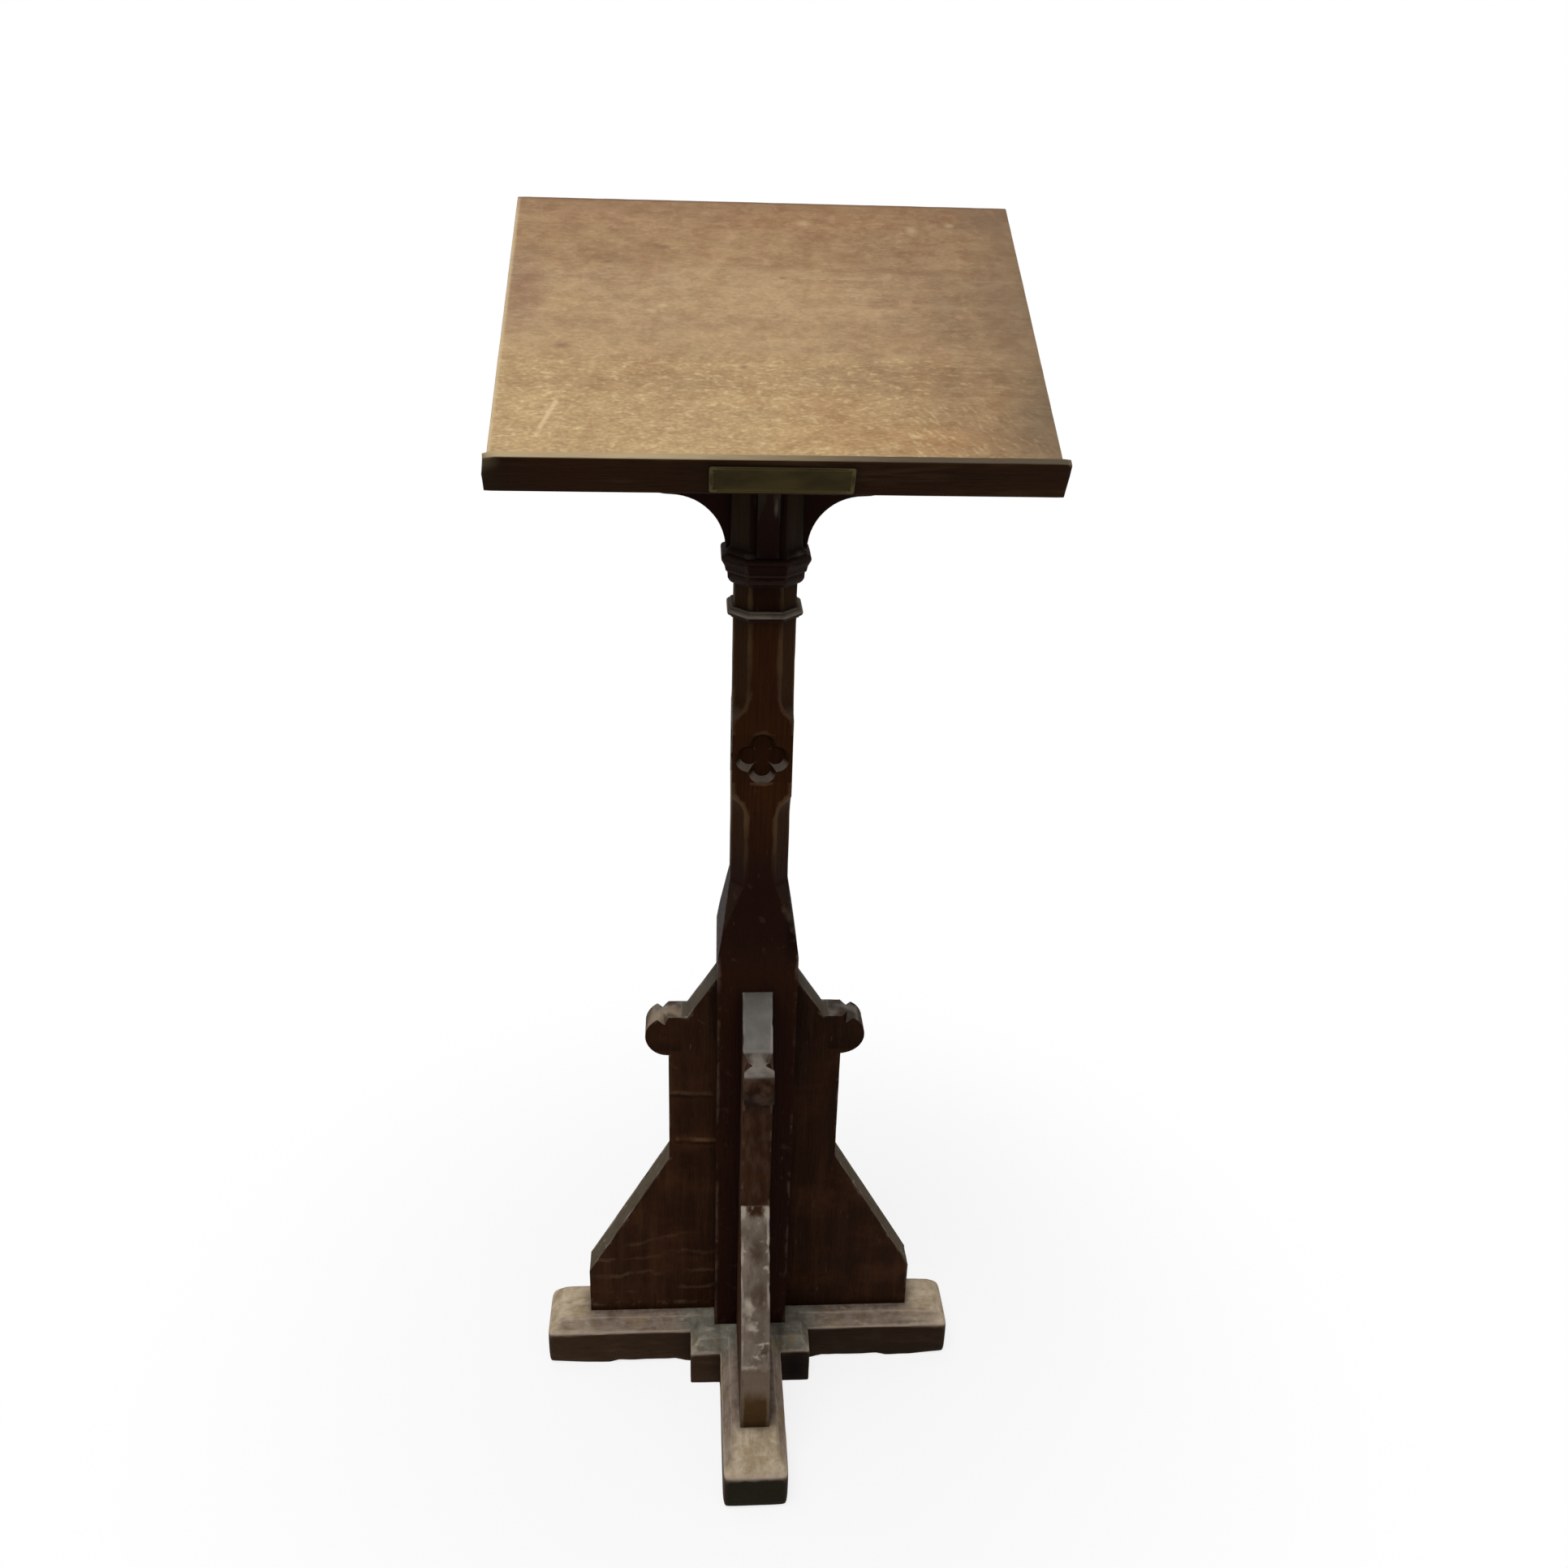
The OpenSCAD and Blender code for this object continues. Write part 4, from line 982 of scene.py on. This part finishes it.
def neighbours_of(name, apart=""):
    """The surfaces of every other worn node, except those whose names start with a word."""
    others = [n for n in WORN if n != name and not (apart and n.startswith(apart))]
    return surface_of([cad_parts[other] for other in others])


print("worn nodes:", len(WORN))

# %% [markdown]
# Cleaning melts the CAD's triangles back into flat sides. An arris is free if no neighbour comes
# near it at three points. Slicing by planes keeps every flat side flat. A voxel remesh would give
# even cells in one call, but it would round off the joints.

# %% Clean, bevel and slice
SHARP = math.radians(22)
TOUCH = 0.3 * MM
ARRIS_STEP = 1.5 * MM


def cleaned(source):
    """A copy in which each flat side is one face."""
    mesh = bmesh.new()
    mesh.from_mesh(source.data)
    bmesh.ops.remove_doubles(mesh, verts=mesh.verts[:], dist=0.01 * MM)
    bmesh.ops.dissolve_limit(
        mesh, angle_limit=math.radians(0.3), verts=mesh.verts[:], edges=mesh.edges[:], delimit={"NORMAL"}
    )
    bmesh.ops.recalc_face_normals(mesh, faces=mesh.faces[:])
    return mesh


def free_arrises(mesh, neighbours):
    """The sharp edges that stand out and that no neighbour covers."""
    free = []
    for edge in mesh.edges:
        if len(edge.link_faces) != 2 or edge.calc_face_angle(0) < SHARP or not edge.is_convex:
            continue
        ends = [v.co for v in edge.verts]
        shares = [ends[0].lerp(ends[1], share) for share in (0.25, 0.5, 0.75)]
        if all(neighbours.find_nearest(p, TOUCH)[0] is None for p in shares):
            free.append(edge)
    return free


def points_along(edges, step):
    """Points every step or so along some edges, in a tree that finds the nearest."""
    points = []
    for edge in edges:
        a, b = (v.co for v in edge.verts)
        count = max(1, round((b - a).length / step))
        points += [a.lerp(b, i / count) for i in range(count + 1)]
    tree = kdtree.KDTree(len(points))
    for index, point in enumerate(points):
        tree.insert(point, index)
    tree.balance()
    return tree


def slice_along(mesh, direction, cell):
    """Cuts the mesh by planes a cell apart."""
    reach = [v.co.dot(direction) for v in mesh.verts]
    low, high = min(reach), max(reach)
    count = max(1, round((high - low) / cell))
    for step in range(1, count):
        place = direction * (low + (high - low) * step / count)
        everything = mesh.verts[:] + mesh.edges[:] + mesh.faces[:]
        bmesh.ops.bisect_plane(mesh, geom=everything, dist=0.02 * MM, plane_co=place, plane_no=direction)


def fine_mesh(name, neighbours, directions, bevel, cell):
    """A node's mesh with bevels and small cells, and the points along its free arrises."""
    mesh = cleaned(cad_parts[name])
    arrises = free_arrises(mesh, neighbours)
    edge_points = points_along(arrises, ARRIS_STEP)
    if arrises:
        bmesh.ops.bevel(
            mesh, geom=arrises, offset=bevel * MM, offset_type="OFFSET", segments=2, profile=0.5,
            affect="EDGES", clamp_overlap=True, loop_slide=True,
        )
    for row in directions.row:
        slice_along(mesh, row.normalized(), cell * MM)
    bmesh.ops.triangulate(mesh, faces=[f for f in mesh.faces if len(f.verts) > 4])
    mesh.normal_update()
    return mesh, edge_points


print("arrises over", round(math.degrees(SHARP)), "degrees are bevelled")

# %% [markdown]
# Feet and brooms have rounded the ends of the foot's arms, so the points there drift towards the
# middle of their neighbours, as a sculptor's smoothing brush would move them. The knocks are
# pushed in one by one.

# %% Soften and knock
ARM_SOFT_FROM = 188 * MM
ARM_SOFT_FULL = 222 * MM
SOFT_ROUNDS = 16


def soften_arm_ends(mesh):
    """Lets the points near an arm's end drift to the middle of their neighbours."""
    for _ in range(SOFT_ROUNDS):
        places = []
        for vert in mesh.verts:
            reach = max(abs(vert.co.x), abs(vert.co.y))
            share = (reach - ARM_SOFT_FROM) / (ARM_SOFT_FULL - ARM_SOFT_FROM)
            if share > 0:
                around = [edge.other_vert(vert).co for edge in vert.link_edges]
                middle = sum(around, Vector()) / len(around)
                places.append((vert, vert.co.lerp(middle, 0.5 * min(1, share))))
        for vert, place in places:
            vert.co = place


# For each node: the place of a knock, its reach and its step, both in millimetres
TOE = (0, -TOE_OUT * MM, TOE_HEIGHT * MM)
LEFT_SHOULDER, RIGHT_SHOULDER = [(side * HALF_THICK * MM, -90 * MM, 478 * MM) for side in (-1, 1)]
KNOCKS = {
    "book_ledge": ((CHIPPED_CORNER, (12, 14, 12), (2.6, 1.6, -1.6)),),
    "buttress_front": (
        (TOE, (400, 15, 16), (0, 3.2, -2.4)),
        (LEFT_SHOULDER, (9, 12, 12), (4.0, 0, -1.5)),
        (RIGHT_SHOULDER, (9, 12, 12), (-4.0, 0, -1.5)),
    ),
}


def knock(mesh, place, reach, step):
    """Pushes the points around a place by a step, less and less towards the reach."""
    for vert in mesh.verts:
        apart = Vector([(a - b) / (r * MM) for a, b, r in zip(vert.co, place, reach)])
        vert.co += Vector(step) * MM * max(0.0, 1 - apart.length) ** 0.7


def kept_inside(place, low, high):
    """A place, pulled back into a box."""
    return Vector([min(max(p, a), b) for p, a, b in zip(place, low, high)])


print("knocks:", sum(len(places) for places in KNOCKS.values()))

# %% [markdown]
# Wear is uneven, so noise decides how much each point loses. It is worked out here and not in the
# shader, because a worn arris also shows in the outline. The mesh keeps its grain, and how near
# each point is to a free arris and to a nook, which the finish darkens with painted shade and dirt.
# Planks glued edge to edge make no nook.

# %% Wear one piece
WEAR_SIZE = 16 * MM
CHIP_SIZE = 9 * MM
CHIP_SHARE = 0.15
DENT_SIZE = 45 * MM
ARRIS_REACH = 2.5 * MM
SEEN_ARRIS = 3.5 * MM
NOOK_REACH = 7 * MM
HOLD_REACH = 3 * MM
LOOK_AROUND = 60 * MM
FAR = 1.0
SMOOTH_BELOW = math.radians(40)


def gap_of(found):
    """The distance that a search gives, or a far one if it has found nothing."""
    return FAR if found is None else found


def loss(vert, near, shift, arris_wear, dents, chips=1.0):
    """How many millimetres a point loses to rubbing, chips and dents."""
    spot = vert.co + shift
    uneven = noise.noise(spot / WEAR_SIZE) * 0.5 + 0.5
    chip = max(0.0, noise.noise(spot / CHIP_SIZE) - CHIP_SHARE) * max(0.0, vert.normal.z) * chips
    rub = arris_wear * (uneven * uneven + chip) * math.exp(-near / ARRIS_REACH)
    return rub + dents * (noise.noise((vert.co - shift) / DENT_SIZE) * 0.5 + 0.5)


def worn_mesh(name, directions, bevel, cell, *losses):
    neighbours = neighbours_of(name)
    # The pieces whose nooks get painted shade and dirt; glued planks make none
    shade_and_dirt_traps = neighbours_of(name, "board_plank" if name.startswith("board_plank") else "")
    mesh, edge_points = fine_mesh(name, neighbours, directions, bevel, cell)
    shift = Vector([random.uniform(-5, 5) for _ in range(3)])
    grain, wear, nook, moved = [], [], [], []
    for vert in mesh.verts:
        near = gap_of(edge_points.find(vert.co)[2])
        touching = gap_of(neighbours.find_nearest(vert.co, LOOK_AROUND)[3])
        trap = gap_of(shade_and_dirt_traps.find_nearest(vert.co, LOOK_AROUND)[3])
        grain.append(directions @ vert.co + shift)
        wear.append(math.exp(-near / SEEN_ARRIS))
        nook.append(math.exp(-trap / NOOK_REACH))
        hold = min(1.0, touching / HOLD_REACH)
        moved.append(vert.co - vert.normal * loss(vert, near, shift, *losses) * hold * MM)
    for vert, place in zip(mesh.verts, moved):
        vert.co = place
    if name.startswith("foot_beam"):
        soften_arm_ends(mesh)
    for how in KNOCKS.get(name, ()):
        knock(mesh, *how)
    low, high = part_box(name)
    for vert in mesh.verts:
        vert.co = kept_inside(vert.co, low, high)
    return mesh, grain, wear, nook


def store(data, name, kind, values):
    attribute = data.attributes.new(name, kind, "POINT")
    if kind == "FLOAT":
        attribute.data.foreach_set("value", values)
    else:
        attribute.data.foreach_set("vector", [x for v in values for x in v])


def dress(name):
    finish_name, *how = WORN[name]
    mesh, grain, wear, nook = worn_mesh(name, *how)
    data = bpy.data.meshes.new("worn_" + name)
    mesh.to_mesh(data)
    mesh.free()
    # The CAD's own normals came along, and would show as dark notches at the joints
    data.attributes.remove(data.attributes["custom_normal"])
    store(data, "grain", "FLOAT_VECTOR", grain)
    store(data, "wear", "FLOAT", wear)
    store(data, "nook", "FLOAT", nook)
    data.shade_smooth()
    data.set_sharp_from_angle(angle=SMOOTH_BELOW)
    piece = bpy.data.objects.new("worn_" + name, data)
    bpy.context.scene.collection.objects.link(piece)
    data.materials.append(FINISHES[finish_name])
    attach(piece, "root")
    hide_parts(name)
    return piece


random.seed(11)
face_count = 0
for node_name in WORN:
    face_count += len(dress(node_name).data.polygons)
print("worn faces:", face_count)

# %% [markdown]
# The small pieces keep their CAD meshes: dowels, wedges and screws are hidden or tiny, and only
# need their timber or metal.

# %% Small pieces
SMALL = {
    "foot_wedges": "peg_oak", "head_wedge": "peg_oak", "bracket_dowels": "peg_oak", "ledge_dowels": "peg_oak",
    "batten_screws": "screw_steel", "plate_pins": "old_brass",
}
for node_name, finish_name in SMALL.items():
    for material_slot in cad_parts[node_name].material_slots:
        material_slot.material = FINISHES[finish_name]
print("small pieces:", len(SMALL))
